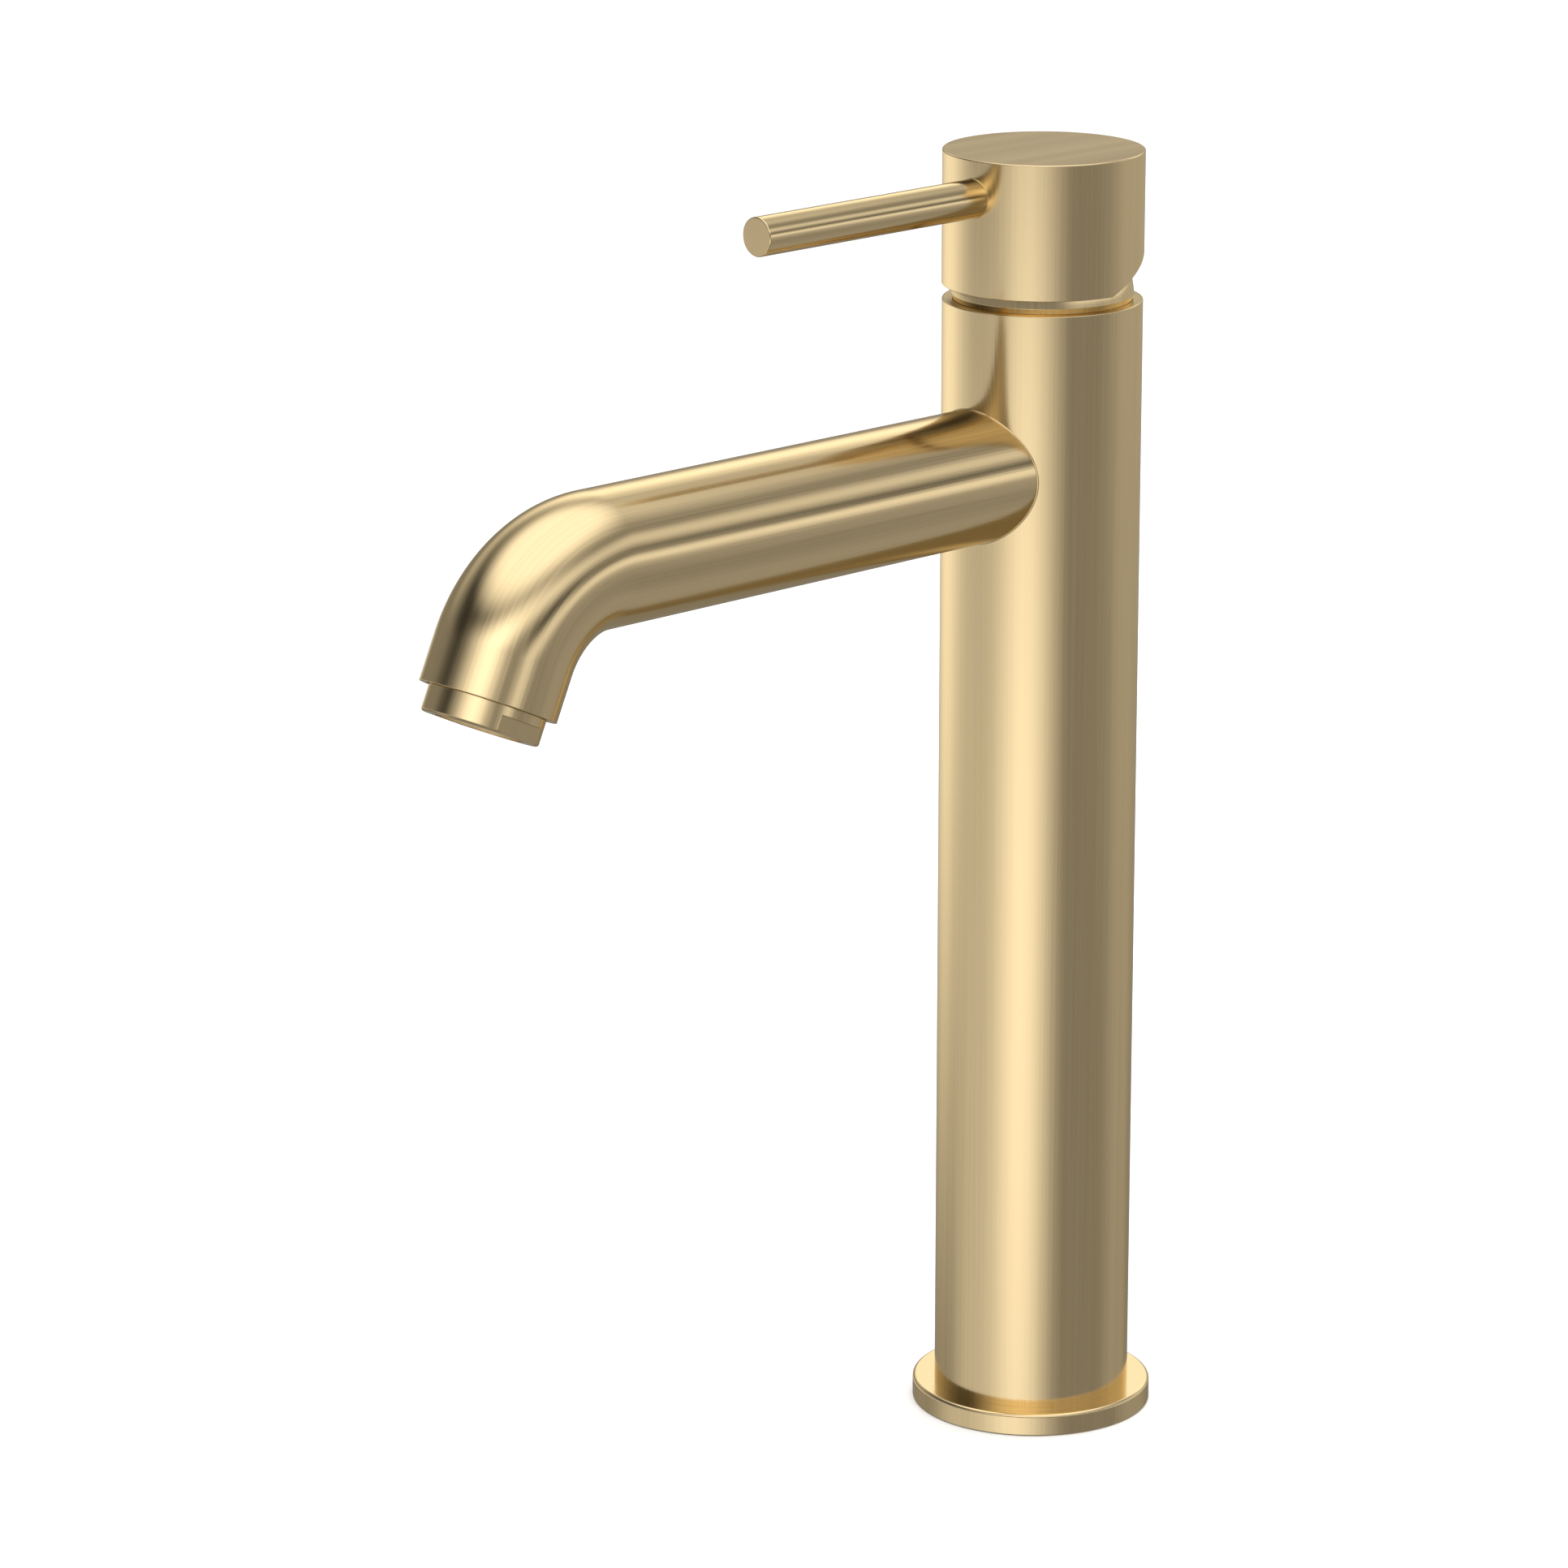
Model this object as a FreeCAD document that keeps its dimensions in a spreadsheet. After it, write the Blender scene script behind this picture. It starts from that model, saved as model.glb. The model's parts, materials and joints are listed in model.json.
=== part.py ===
"""Tall single-lever basin mixer: a plain round column on a flange, a bent tube spout and a pin lever.

The frame is in millimetres. The origin is the centre of the base on the deck, +Z points up the
column and the spout points along -Y, so hot is at -X and cold at +X. Threads are drawn as plain
cylinders, the outer thread a thread_gap smaller than the inner one.
"""

import FreeCAD, Part
import Sketcher
import math
import os
import re

V = FreeCAD.Vector
X_AXIS, Y_AXIS, Z_AXIS = V(1, 0, 0), V(0, 1, 0), V(0, 0, 1)

# Every size that can be set by itself: name, millimetres or degrees, what it is.
SIZES = [
    ("column_diameter", 45.0, "outside of the column tube"),
    ("column_wall", 1.9, "wall of the column tube"),
    ("column_height", 260.7, "rim of the column above the deck"),
    ("spigot_step", 0.7, "how far the column's foot is turned down to pass the flange"),
    ("foot_recess", 0.6, "end of the column above the deck"),
    ("flange_diameter", 55.2, "outside of the base flange"),
    ("flange_thickness", 5.0, "base flange, from the deck to its top"),
    ("flange_round", 0.8, "round on the flange's upper edge"),
    ("flange_gap", 0.1, "radial gap between the flange and the column's foot"),
    ("gasket_radius", 24.7, "middle of the deck gasket"),
    ("gasket_width", 2.4, "deck gasket across its section"),
    ("gasket_height", 1.5, "deck gasket, pressed flush with the flange"),
    ("slip_gap", 0.05, "gap of a brazed or a sealed slip fit, on the radius"),
    ("thread_gap", 0.05, "gap between an inner and an outer thread, on the radius"),
    ("ring_thickness", 1.2, "retaining ring under the base insert"),
    ("ring_bite", 0.85, "how deep the retaining ring enters the column's wall"),
    ("ring_width", 3.6, "retaining ring, across its flat"),
    ("ring_mouth", 9.0, "opening of the retaining ring"),
    ("ring_eye", 1.8, "plier hole in each end of the retaining ring"),
    ("ring_setback", 0.8, "retaining ring above the top of the flange"),
    ("insert_height", 20.0, "base insert, bottom to top"),
    ("inlet_bore", 9.0, "core diameter of the fine M10 inlet thread"),
    ("inlet_depth", 11.0, "length of the inlet thread"),
    ("stud_bore", 6.8, "core diameter of the M8 stud thread"),
    ("stud_depth", 14.0, "length of the stud thread"),
    ("stud_offset", 11.0, "stud behind the column's axis"),
    ("port_spread", 7.0, "each inlet from the middle plane"),
    ("port_forward", 5.0, "inlets in front of the column's axis"),
    ("port_bore", 4.6, "water way of each inlet in the valve body and the cartridge"),
    ("riser_diameter", 8.0, "outside of each supply riser"),
    ("riser_wall", 0.8, "wall of each supply riser"),
    ("socket_depth", 7.5, "how deep a riser enters its socket"),
    ("socket_play", 0.3, "room beyond each end of a riser"),
    ("seal_section", 1.6, "section of the riser seals"),
    ("seal_inset", 2.5, "riser seal from the mouth of its socket"),
    ("body_below", 6.6, "valve body below the spout's bore"),
    ("body_drop", 1.2, "top of the valve body below the column's rim"),
    ("body_thread_depth", 6.9, "inner thread at the top of the valve body"),
    ("seat_depth", 21.2, "cartridge seat below the column's rim"),
    ("outlet_back", 2.6, "mixed water port behind the column's axis"),
    ("outlet_bore", 5.6, "mixed water port of the cartridge"),
    ("cross_bore", 7.0, "cross channel from the mixed water port to the spout"),
    ("key_spread", 11.5, "each locating key of the cartridge from the middle plane"),
    ("key_back", 7.0, "locating keys behind the column's axis"),
    ("key_diameter", 3.0, "locating key of the cartridge"),
    ("key_length", 2.2, "locating key below the cartridge's base"),
    ("spout_height", 223.2, "spout's axis above the deck"),
    ("spout_diameter", 30.2, "outside of the spout tube"),
    ("spout_wall", 1.5, "wall of the spout tube"),
    ("spout_reach", 136.7, "column's axis to the start of the bend"),
    ("bend_radius", 27.8, "bend of the spout's axis"),
    ("bend_angle", 65.0, "turn of the spout's bend"),
    ("spout_end", 10.4, "straight end of the spout after the bend"),
    ("bush_length", 10.0, "threaded bush inside the spout's end"),
    ("bush_setback", 0.5, "bush behind the spout's end"),
    ("bush_lip", 1.5, "inner shoulder of the bush"),
    ("aerator_thread", 24.0, "M24 thread of the aerator"),
    ("aerator_diameter", 25.8, "collar of the aerator"),
    ("aerator_drop", 5.85, "collar of the aerator below the spout's end"),
    ("aerator_flats", 23.0, "spanner flats of the collar"),
    ("flats_start", 2.1, "flats below the spout's end"),
    ("aerator_shank", 7.0, "threaded length of the aerator"),
    ("aerator_bore", 21.2, "bore of the aerator housing"),
    ("aerator_lip", 0.8, "lip that holds the honeycomb"),
    ("aerator_edge", 0.4, "chamfer of the collar's lower edge"),
    ("comb_height", 3.4, "honeycomb insert"),
    ("cell_pitch", 2.6, "honeycomb cell to cell"),
    ("cell_bore", 2.0, "honeycomb cell"),
    ("screen_thickness", 0.4, "wire screen"),
    ("regulator_height", 4.6, "flow regulator"),
    ("regulator_wall", 1.2, "wall of the flow regulator"),
    ("washer_height", 2.0, "rubber washer over the aerator"),
    ("washer_width", 2.2, "rubber washer, across its section"),
    ("cartridge_diameter", 34.8, "outside of the cartridge"),
    ("cartridge_gap", 0.1, "radial gap round the cartridge in the valve body"),
    ("cartridge_height", 26.5, "cartridge above its seat"),
    ("shoulder_height", 13.4, "cartridge shoulder above the seat"),
    ("neck_diameter", 30.0, "cartridge above its shoulder"),
    ("disc_room", 29.8, "bore of the cartridge round the discs"),
    ("disc_room_top", 11.7, "top of that bore above the seat"),
    ("rotor_room", 25.2, "bore of the cartridge round the rotor"),
    ("lid_thickness", 2.5, "top wall of the cartridge"),
    ("lid_bore", 19.2, "opening in the top wall of the cartridge"),
    ("seal_squeeze", 0.4, "port seals stand this far below the cartridge's base"),
    ("port_seal_width", 1.6, "section of the port seals"),
    ("port_seal_height", 1.8, "height of the port seals"),
    ("plate_thickness", 2.6, "rim of the cartridge's base"),
    ("plug_height", 2.0, "part of the cartridge's base inside the housing"),
    ("fixed_disc_thickness", 3.5, "fixed ceramic disc"),
    ("moving_disc_thickness", 3.0, "moving ceramic disc"),
    ("moving_disc_diameter", 24.0, "moving ceramic disc"),
    ("pocket_diameter", 11.8, "mixing pocket under the moving disc"),
    ("pocket_depth", 1.6, "mixing pocket under the moving disc"),
    ("carrier_diameter", 19.4, "carrier on the moving disc"),
    ("carrier_thickness", 4.0, "carrier on the moving disc"),
    ("rail_width", 2.0, "each rail of the carrier"),
    ("rail_spread", 7.0, "each rail from the middle plane"),
    ("rail_height", 1.3, "rail above the carrier"),
    ("rail_gap", 0.1, "gap round each rail"),
    ("rail_length", 12.0, "rail, front to back"),
    ("drive_spread", 8.2, "each drive pin from the middle"),
    ("drive_diameter", 2.4, "drive pins of the carrier"),
    ("drive_length", 1.2, "drive pins of the carrier"),
    ("turn_gap", 0.3, "room above and below the rotor"),
    ("rotor_diameter", 25.0, "rotor in the cartridge"),
    ("rotor_slot", 14.0, "slot for the stem, front to back"),
    ("pivot_height", 20.5, "lever's pivot above the cartridge's seat"),
    ("pivot_diameter", 3.0, "pivot pin"),
    ("pivot_length", 22.0, "pivot pin"),
    ("running_gap", 0.04, "radial gap of a turning fit"),
    ("stem_width", 8.0, "square stem of the cartridge"),
    ("stem_gap", 0.05, "gap on each side of the stem in the handle"),
    ("stem_below", 3.2, "square of the stem below the pivot"),
    ("stem_above", 28.8, "stem above the pivot"),
    ("ball_drop", 6.3, "ball end of the stem below the pivot"),
    ("ball_diameter", 5.0, "ball end of the stem"),
    ("ball_gap", 0.12, "radial gap round the ball end"),
    ("arm_diameter", 3.6, "arm between the stem's square and its ball"),
    ("nut_thread", 38.0, "outer thread of the cartridge nut"),
    ("nut_gap", 0.1, "radial gap between the nut and the cartridge's neck"),
    ("nut_above_rim", 1.8, "thread of the nut above the column's rim"),
    ("crown_diameter", 34.6, "slotted crown of the nut"),
    ("crown_height", 3.5, "slotted crown of the nut"),
    ("crown_slot", 4.0, "each slot of the crown"),
    ("dome_radius", 20.5, "outer sphere of the bonnet, centred in the column's rim"),
    ("dome_wall", 1.2, "wall of the bonnet"),
    ("dome_height", 11.8, "top of the bonnet above the column's rim"),
    ("dome_gap", 0.15, "radial gap between the bonnet and the column's bore"),
    ("dome_mouth", 29.8, "opening in the bonnet's top"),
    ("dome_thread_top", 1.9, "inner thread of the bonnet above the column's rim"),
    ("dome_lift", 0.2, "bonnet above the valve body"),
    ("cap_diameter", 45.2, "outside of the handle cap"),
    ("cap_height", 30.3, "handle cap"),
    ("cap_gap", 3.35, "handle cap above the column's rim"),
    ("cap_wall", 1.3, "skirt of the handle cap"),
    ("cap_ceiling", 3.0, "top wall of the handle cap"),
    ("cap_edge", 0.3, "chamfer of the handle cap's upper edge"),
    ("relief_angle", 24.0, "slope cut under the back of the cap, and the lever's lift"),
    ("relief_start", 1.0, "start of that slope in front of the column's axis"),
    ("boss_width", 13.0, "square boss under the cap's ceiling"),
    ("boss_length", 18.8, "boss below the ceiling"),
    ("lug_diameter", 12.0, "lug from the boss to the skirt, round the lever's thread"),
    ("pin_drop", 8.5, "lever's axis below the top of the cap"),
    ("pin_diameter", 8.7, "lever pin"),
    ("pin_reach", 88.5, "column's axis to the tip of the lever pin"),
    ("pin_edge", 0.3, "chamfer of the lever pin's tip"),
    ("pin_seat", 1.0, "depth of the seat of the lever pin in the cap"),
    ("pin_thread", 6.0, "M6 thread of the lever pin and of the grub screw"),
    ("pin_thread_length", 8.6, "threaded end of the lever pin"),
    ("grub_length", 7.0, "grub screw"),
    ("hex_width", 3.0, "hexagon socket of the grub screw"),
    ("hex_depth", 3.0, "hexagon socket of the grub screw"),
]
SIZE_NAMES = {name for name, _, _ in SIZES}

doc = FreeCAD.newDocument("BasinMixer")
sheet = doc.addObject("Spreadsheet::Sheet", "Sizes")
for row, (name, value, note) in enumerate(SIZES, start=1):
    sheet.set(f"A{row}", note)
    sheet.set(f"B{row}", str(value))
    sheet.setAlias(f"B{row}", name)
doc.recompute()

# Heights and radii that several pieces share, as formulas of the sizes.
COLUMN_R = "column_diameter / 2"
BORE_R = "(column_diameter / 2 - column_wall)"
SPIGOT_R = "(column_diameter / 2 - spigot_step)"
INSERT_Z = "(flange_thickness + ring_setback + ring_thickness)"
INSERT_TOP = f"({INSERT_Z} + insert_height)"
SPOUT_BORE_R = "(spout_diameter / 2 - spout_wall)"
BODY_Z = f"(spout_height - {SPOUT_BORE_R} - body_below)"
BODY_TOP = "(column_height - body_drop)"
SEAT_Z = "(column_height - seat_depth)"
PLATE_Z = f"({SEAT_Z} + seal_squeeze)"
HOUSING_Z = f"({PLATE_Z} + plate_thickness)"
FIXED_Z = f"({HOUSING_Z} + plug_height)"
MOVING_Z = f"({FIXED_Z} + fixed_disc_thickness)"
CARRIER_Z = f"({MOVING_Z} + moving_disc_thickness)"
ROTOR_Z = f"({CARRIER_Z} + carrier_thickness + turn_gap)"
SHOULDER_Z = f"({SEAT_Z} + shoulder_height)"
HOUSING_TOP = f"({SEAT_Z} + cartridge_height)"
ROTOR_TOP = f"({HOUSING_TOP} - lid_thickness - turn_gap)"
PIVOT_Z = f"({SEAT_Z} + pivot_height)"
CAP_Z = "(column_height + cap_gap)"
CAP_TOP = f"({CAP_Z} + cap_height)"
CEILING_Z = f"({CAP_TOP} - cap_ceiling)"
PIN_Z = f"({CAP_TOP} - pin_drop)"
PIN_SEAT_Y = "(cap_diameter / 2 - pin_seat)"

pieces = {}


def formula(text):
    """The text with each size's name turned into a reference to the spreadsheet."""
    return re.sub(r"[a-z_]+", lambda m: f"Sizes.{m[0]}" if m[0] in SIZE_NAMES else m[0], text)


def number(text):
    """The value of a formula now, in millimetres or degrees."""
    return float(sheet.evalExpression(formula(text)))


def keep(label, thing, placement=None):
    """Names a finished sub-part and, where it has its own frame, puts it in place."""
    thing.Label = label
    if placement is not None:
        thing.Placement = placement
    pieces[label] = thing
    return thing


def origin_part(body, role):
    """One of a body's own origin planes or axes."""
    return next(o for o in body.Origin.OriginFeatures if o.Role == role)


def new_sketch(body, name, role="XZ_Plane"):
    sketch = body.newObject("Sketcher::SketchObject", name)
    sketch.AttachmentSupport = (origin_part(body, role), [""])
    sketch.MapMode = "FlatFace"
    return sketch


def pin_point(sketch, item, end, across, up):
    """Holds one point of a sketch at two formulas, measured from the sketch's origin."""
    for kind, text, axis in (("DistanceX", across, -2), ("DistanceY", up, -1)):
        if text is None:
            continue
        value = number(text)
        if abs(value) < 1e-9:
            sketch.addConstraint(Sketcher.Constraint("PointOnObject", item, end, axis))
            continue
        if value > 0:
            ends = (-1, 1, item, end)
        else:
            ends = (item, end, -1, 1)
            text = f"-({text})"
        index = sketch.addConstraint(Sketcher.Constraint(kind, *ends, abs(value)))
        sketch.setExpression(f"Constraints[{index}]", formula(text))


def outline(sketch, points):
    """A closed outline of straight lines through points given as pairs of formulas."""
    places = [V(number(a), number(b), 0) for a, b in points]
    for i, start in enumerate(places):
        sketch.addGeometry(Part.LineSegment(start, places[(i + 1) % len(places)]), False)
    for i in range(len(points)):
        after = (i + 1) % len(points)
        sketch.addConstraint(Sketcher.Constraint("Coincident", i, 2, after, 1))
        pin_point(sketch, i, 1, *points[i])


def turned(name, points):
    """A lathe-turned body: an outline of (radius, height) pairs revolved about Z."""
    body = doc.addObject("PartDesign::Body", name)
    sketch = new_sketch(body, name + "_profile")
    outline(sketch, points)
    turn = body.newObject("PartDesign::Revolution", name + "_turning")
    turn.Profile = sketch
    turn.ReferenceAxis = (sketch, ["V_Axis"])
    turn.Angle = 360
    return body


def ring(name, inner, outer, low, high):
    """A turned ring between two radii and two heights."""
    return turned(name, [(inner, low), (outer, low), (outer, high), (inner, high)])


def bind(thing, **formulas):
    for name, text in formulas.items():
        thing.setExpression(name, formula(text))


def move(thing, x="0", y="0", z="0"):
    for axis, text in zip("xyz", (x, y, z)):
        thing.setExpression(f"Placement.Base.{axis}", formula(text))
    return thing


def rod(name, radius, length, x="0", y="0", z="0", along=None):
    """A cylinder from a point, up or along X or -Y."""
    thing = doc.addObject("Part::Cylinder", name)
    bind(thing, Radius=radius, Height=length)
    if along == "X":
        thing.Placement.Rotation = FreeCAD.Rotation(Y_AXIS, 90)
    if along == "-Y":
        thing.Placement.Rotation = FreeCAD.Rotation(X_AXIS, 90)
    return move(thing, x, y, z)


def block(name, size, corner):
    """A box of three lengths from its lowest corner."""
    thing = doc.addObject("Part::Box", name)
    bind(thing, Length=size[0], Width=size[1], Height=size[2])
    return move(thing, *corner)


def ball(name, radius, z):
    thing = doc.addObject("Part::Sphere", name)
    bind(thing, Radius=radius)
    return move(thing, z=z)


def join(name, *things):
    thing = doc.addObject("Part::MultiFuse", name)
    thing.Shapes = list(things)
    return thing


def cut(name, base, *tools):
    thing = doc.addObject("Part::Cut", name)
    thing.Base = base
    thing.Tool = tools[0] if len(tools) == 1 else join(name + "_tools", *tools)
    return thing


def common(name, one, other):
    thing = doc.addObject("Part::Common", name)
    thing.Base = one
    thing.Tool = other
    return thing


def group(name, *things):
    """Separate, identical solids that share one node."""
    thing = doc.addObject("Part::Compound", name)
    thing.Links = list(things)
    return thing


def both_sides(make):
    """What make builds at -X and at +X, from a sign as text and a word."""
    return [make("-", "hot"), make("", "cold")]


# ---------------------------------------------------------------- base and column


def base_flange():
    """The loose cover ring on the deck, with a groove for its gasket and a rounded upper edge."""
    low_in = f"{SPIGOT_R} + flange_gap"
    groove_in, groove_out = "gasket_radius - gasket_width / 2", "gasket_radius + gasket_width / 2"
    body = turned(
        "FlangeBody",
        [
            (low_in, "0"),
            (groove_in, "0"),
            (groove_in, "gasket_height"),
            (groove_out, "gasket_height"),
            (groove_out, "0"),
            ("flange_diameter / 2", "0"),
            ("flange_diameter / 2", "flange_thickness"),
            (low_in, "flange_thickness"),
        ],
    )
    doc.recompute()
    turning = body.Tip
    edge_r, edge_z = number("flange_diameter / 2"), number("flange_thickness")
    rims = [
        f"Edge{i}"
        for i, e in enumerate(turning.Shape.Edges, start=1)
        if hasattr(e.Curve, "Radius")
        and abs(e.Curve.Radius - edge_r) < 1e-4
        and abs(e.BoundBox.ZMin - edge_z) < 1e-4
    ]
    fillet = body.newObject("PartDesign::Fillet", "FlangeRound")
    fillet.Base = (turning, rims)
    bind(fillet, Radius="flange_round")
    body.Tip = fillet
    keep("base_flange", body)


def deck_gasket():
    """The rubber ring in the flange's groove, pressed flush by the deck."""
    low, high = "gasket_radius - gasket_width / 2", "gasket_radius + gasket_width / 2"
    keep("deck_gasket", ring("GasketBody", low, high, "0", "gasket_height"))


def column_tube():
    """The column: a tube with a turned-down foot, a ring groove and the window to the spout."""
    groove_low = "flange_thickness + ring_setback"
    groove_r = f"{BORE_R} + ring_bite + slip_gap"
    body = turned(
        "ColumnBody",
        [
            (BORE_R, "foot_recess"),
            (SPIGOT_R, "foot_recess"),
            (SPIGOT_R, "flange_thickness"),
            (COLUMN_R, "flange_thickness"),
            (COLUMN_R, "column_height"),
            (BORE_R, "column_height"),
            (BORE_R, INSERT_Z),
            (groove_r, INSERT_Z),
            (groove_r, groove_low),
            (BORE_R, groove_low),
        ],
    )
    window = rod("SpoutWindow", SPOUT_BORE_R, COLUMN_R, z="spout_height", along="-Y")
    keep("column_tube", cut("Column", body, window))


def port_stack(name, parts):
    """Coaxial water ways at both inlets: (radius, bottom, top) for each step of the stack."""

    def stack(sign, side):
        rods = [
            rod(f"{name}_{side}{i}", r, f"{top} - {low}", f"{sign}port_spread", "-port_forward", low)
            for i, (r, low, top) in enumerate(parts)
        ]
        return join(f"{name}_{side}", *rods)

    return both_sides(stack)


def base_insert():
    """The plug in the column's foot, with the two inlet threads, the stud thread and the riser sockets."""
    blank = ring("InsertBlank", "0", f"{BORE_R} - slip_gap", INSERT_Z, INSERT_TOP)
    socket_r = "riser_diameter / 2 + slip_gap"
    groove_low = f"({INSERT_TOP} - seal_inset - seal_section)"
    ways = port_stack(
        "InsertWay",
        [
            ("inlet_bore / 2", INSERT_Z, f"({INSERT_Z} + inlet_depth)"),
            ("riser_diameter / 2 - riser_wall", INSERT_Z, INSERT_TOP),
            (socket_r, f"({INSERT_TOP} - socket_depth)", INSERT_TOP),
            ("riser_diameter / 2 + seal_section", groove_low, f"({groove_low} + seal_section)"),
        ],
    )
    stud = rod("StudHole", "stud_bore / 2", "stud_depth", "0", "stud_offset", INSERT_Z)
    keep("base_insert", cut("Insert", blank, stud, *ways))


def base_retaining_ring():
    """The spring ring that snaps into the column's groove and holds the base insert up."""
    low = "flange_thickness + ring_setback"
    inner, outer = f"({BORE_R} - ring_width + ring_bite)", f"{BORE_R} + ring_bite"
    band = ring("RingBand", inner, outer, low, f"{low} + ring_thickness")
    mouth = block(
        "RingMouth",
        ("column_diameter", "ring_mouth", "ring_thickness"),
        ("0", "-ring_mouth / 2", low),
    )
    eye_x = f"{inner} + ring_width / 2 - ring_bite / 2"
    eyes = [
        rod(f"RingEye{i}", "ring_eye / 2", "ring_thickness", eye_x, f"{sign}(ring_mouth / 2 + ring_eye)", low)
        for i, sign in enumerate(("-", ""))
    ]
    keep("base_retaining_ring", cut("RetainingRing", band, mouth, *eyes))


def risers():
    """The hot and cold tubes inside the column, each sealed in a socket at both ends."""
    low = f"({INSERT_TOP} - socket_depth + socket_play)"
    high = f"({BODY_Z} + socket_depth - socket_play)"
    inner, outer = "riser_diameter / 2 - riser_wall", "riser_diameter / 2"
    for sign, side in (("-", "hot"), ("", "cold")):
        tube = ring(f"Riser_{side}", inner, outer, low, high)
        keep(f"riser_{side}", move(tube, f"{sign}port_spread", "-port_forward", "0"))


def riser_seals():
    """Four O-rings, one in the groove of each riser socket."""
    heights = [f"{INSERT_TOP} - seal_inset - seal_section / 2", f"{BODY_Z} + seal_inset + seal_section / 2"]
    seals = []
    for i, z in enumerate(heights):
        for sign, side in (("-", "hot"), ("", "cold")):
            torus = doc.addObject("Part::Torus", f"RiserSeal_{side}{i}")
            bind(torus, Radius1="riser_diameter / 2 + seal_section / 2", Radius2="seal_section / 2")
            seals.append(move(torus, f"{sign}port_spread", "-port_forward", z))
    keep("riser_seals", group("RiserSeals", *seals))


# ---------------------------------------------------------------- valve body, nut and bonnet


def valve_body():
    """The brazed brass core: the cartridge's chamber above, the water ways and riser sockets below."""
    thread_z = f"({BODY_TOP} - body_thread_depth)"
    chamber_r = "(cartridge_diameter / 2 + cartridge_gap)"
    outer_r = f"{BORE_R} - slip_gap"
    blank = turned(
        "ValveBlank",
        [
            ("0", BODY_Z),
            (outer_r, BODY_Z),
            (outer_r, BODY_TOP),
            ("nut_thread / 2", BODY_TOP),
            ("nut_thread / 2", thread_z),
            (chamber_r, thread_z),
            (chamber_r, SEAT_Z),
            ("0", SEAT_Z),
        ],
    )
    groove_low = f"({BODY_Z} + seal_inset)"
    ways = port_stack(
        "ValveWay",
        [
            ("port_bore / 2", BODY_Z, SEAT_Z),
            ("riser_diameter / 2 + slip_gap", BODY_Z, f"({BODY_Z} + socket_depth)"),
            ("riser_diameter / 2 + seal_section", groove_low, f"({groove_low} + seal_section)"),
        ],
    )
    down = rod(
        "OutletWay", "outlet_bore / 2", f"{SEAT_Z} - spout_height", "0", "outlet_back", "spout_height"
    )
    across = rod(
        "CrossWay",
        "cross_bore / 2",
        f"outlet_back + cross_bore + {COLUMN_R}",
        "0",
        "outlet_back + cross_bore",
        "spout_height",
        along="-Y",
    )
    keys = key_rods("ValveKey", "key_diameter / 2 + slip_gap", f"{SEAT_Z} - key_length - slip_gap")
    keep("valve_body", cut("ValveBody", blank, down, across, *ways, *keys))


def key_rods(name, radius, low):
    """Rods at the cartridge's two locating keys, from a height to the seat."""
    length = f"{SEAT_Z} - ({low})"
    return both_sides(
        lambda sign, side: rod(f"{name}_{side}", radius, length, f"{sign}key_spread", "key_back", low)
    )


def retaining_nut():
    """The nut that presses the cartridge down, with a slotted crown for its spanner."""
    thread_r = "nut_thread / 2 - thread_gap"
    inner_r = "neck_diameter / 2 + nut_gap"
    thread_top = "(column_height + nut_above_rim)"
    crown_top = f"({thread_top} + crown_height)"
    body = turned(
        "NutBody",
        [
            (inner_r, SHOULDER_Z),
            (thread_r, SHOULDER_Z),
            (thread_r, thread_top),
            ("crown_diameter / 2", thread_top),
            ("crown_diameter / 2", crown_top),
            (inner_r, crown_top),
        ],
    )
    sketch = new_sketch(body, "CrownSlot")
    half = "crown_slot / 2"
    outline(
        sketch,
        [(f"-{half}", thread_top), (half, thread_top), (half, crown_top), (f"-{half}", crown_top)],
    )
    turning = body.Tip
    pocket = body.newObject("PartDesign::Pocket", "CrownPocket")
    pocket.Profile = sketch
    bind(pocket, Length="nut_thread")
    pocket.Reversed = False
    pattern = body.newObject("PartDesign::PolarPattern", "CrownSlots")
    pattern.Originals = [pocket]
    pattern.Axis = (origin_part(body, "Z_Axis"), [""])
    pattern.Angle = 360
    pattern.Occurrences = 6
    body.Tip = pattern
    doc.recompute()
    if pattern.Shape.Volume >= turning.Shape.Volume - 1.0:
        raise RuntimeError("the crown's slots cut nothing")
    keep("retaining_nut", body)


def bonnet():
    """The domed cover screwed on the nut; its foot dips into the column's mouth."""
    foot_z = f"({BODY_TOP} + dome_lift)"
    top_z = "(column_height + dome_height)"
    thread_top = "(column_height + dome_thread_top)"
    foot = rod("BonnetFoot", f"{BORE_R} - dome_gap", f"{top_z} - {foot_z}", z=foot_z)
    outer = common("BonnetOuter", ball("BonnetSphere", "dome_radius", "column_height"), foot)
    hollow_r = "(dome_radius - dome_wall)"
    room = rod("BonnetRoom", hollow_r, f"{top_z} - dome_wall - {thread_top}", z=thread_top)
    hollow = common("BonnetHollow", ball("BonnetInner", hollow_r, "column_height"), room)
    thread = rod("BonnetThread", "nut_thread / 2", f"{thread_top} - {foot_z}", z=foot_z)
    mouth = rod("BonnetMouth", "dome_mouth / 2", "dome_height", z="column_height")
    keep("bonnet", cut("Bonnet", outer, hollow, thread, mouth))


# ---------------------------------------------------------------- cartridge


def through_ports(name, low, high):
    """The two inlets and the outlet as rods between two heights."""
    rods = both_sides(
        lambda sign, side: rod(
            f"{name}_{side}", "port_bore / 2", f"{high} - {low}", f"{sign}port_spread", "-port_forward", low
        )
    )
    rods.append(rod(f"{name}_out", "outlet_bore / 2", f"{high} - {low}", "0", "outlet_back", low))
    return rods


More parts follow.
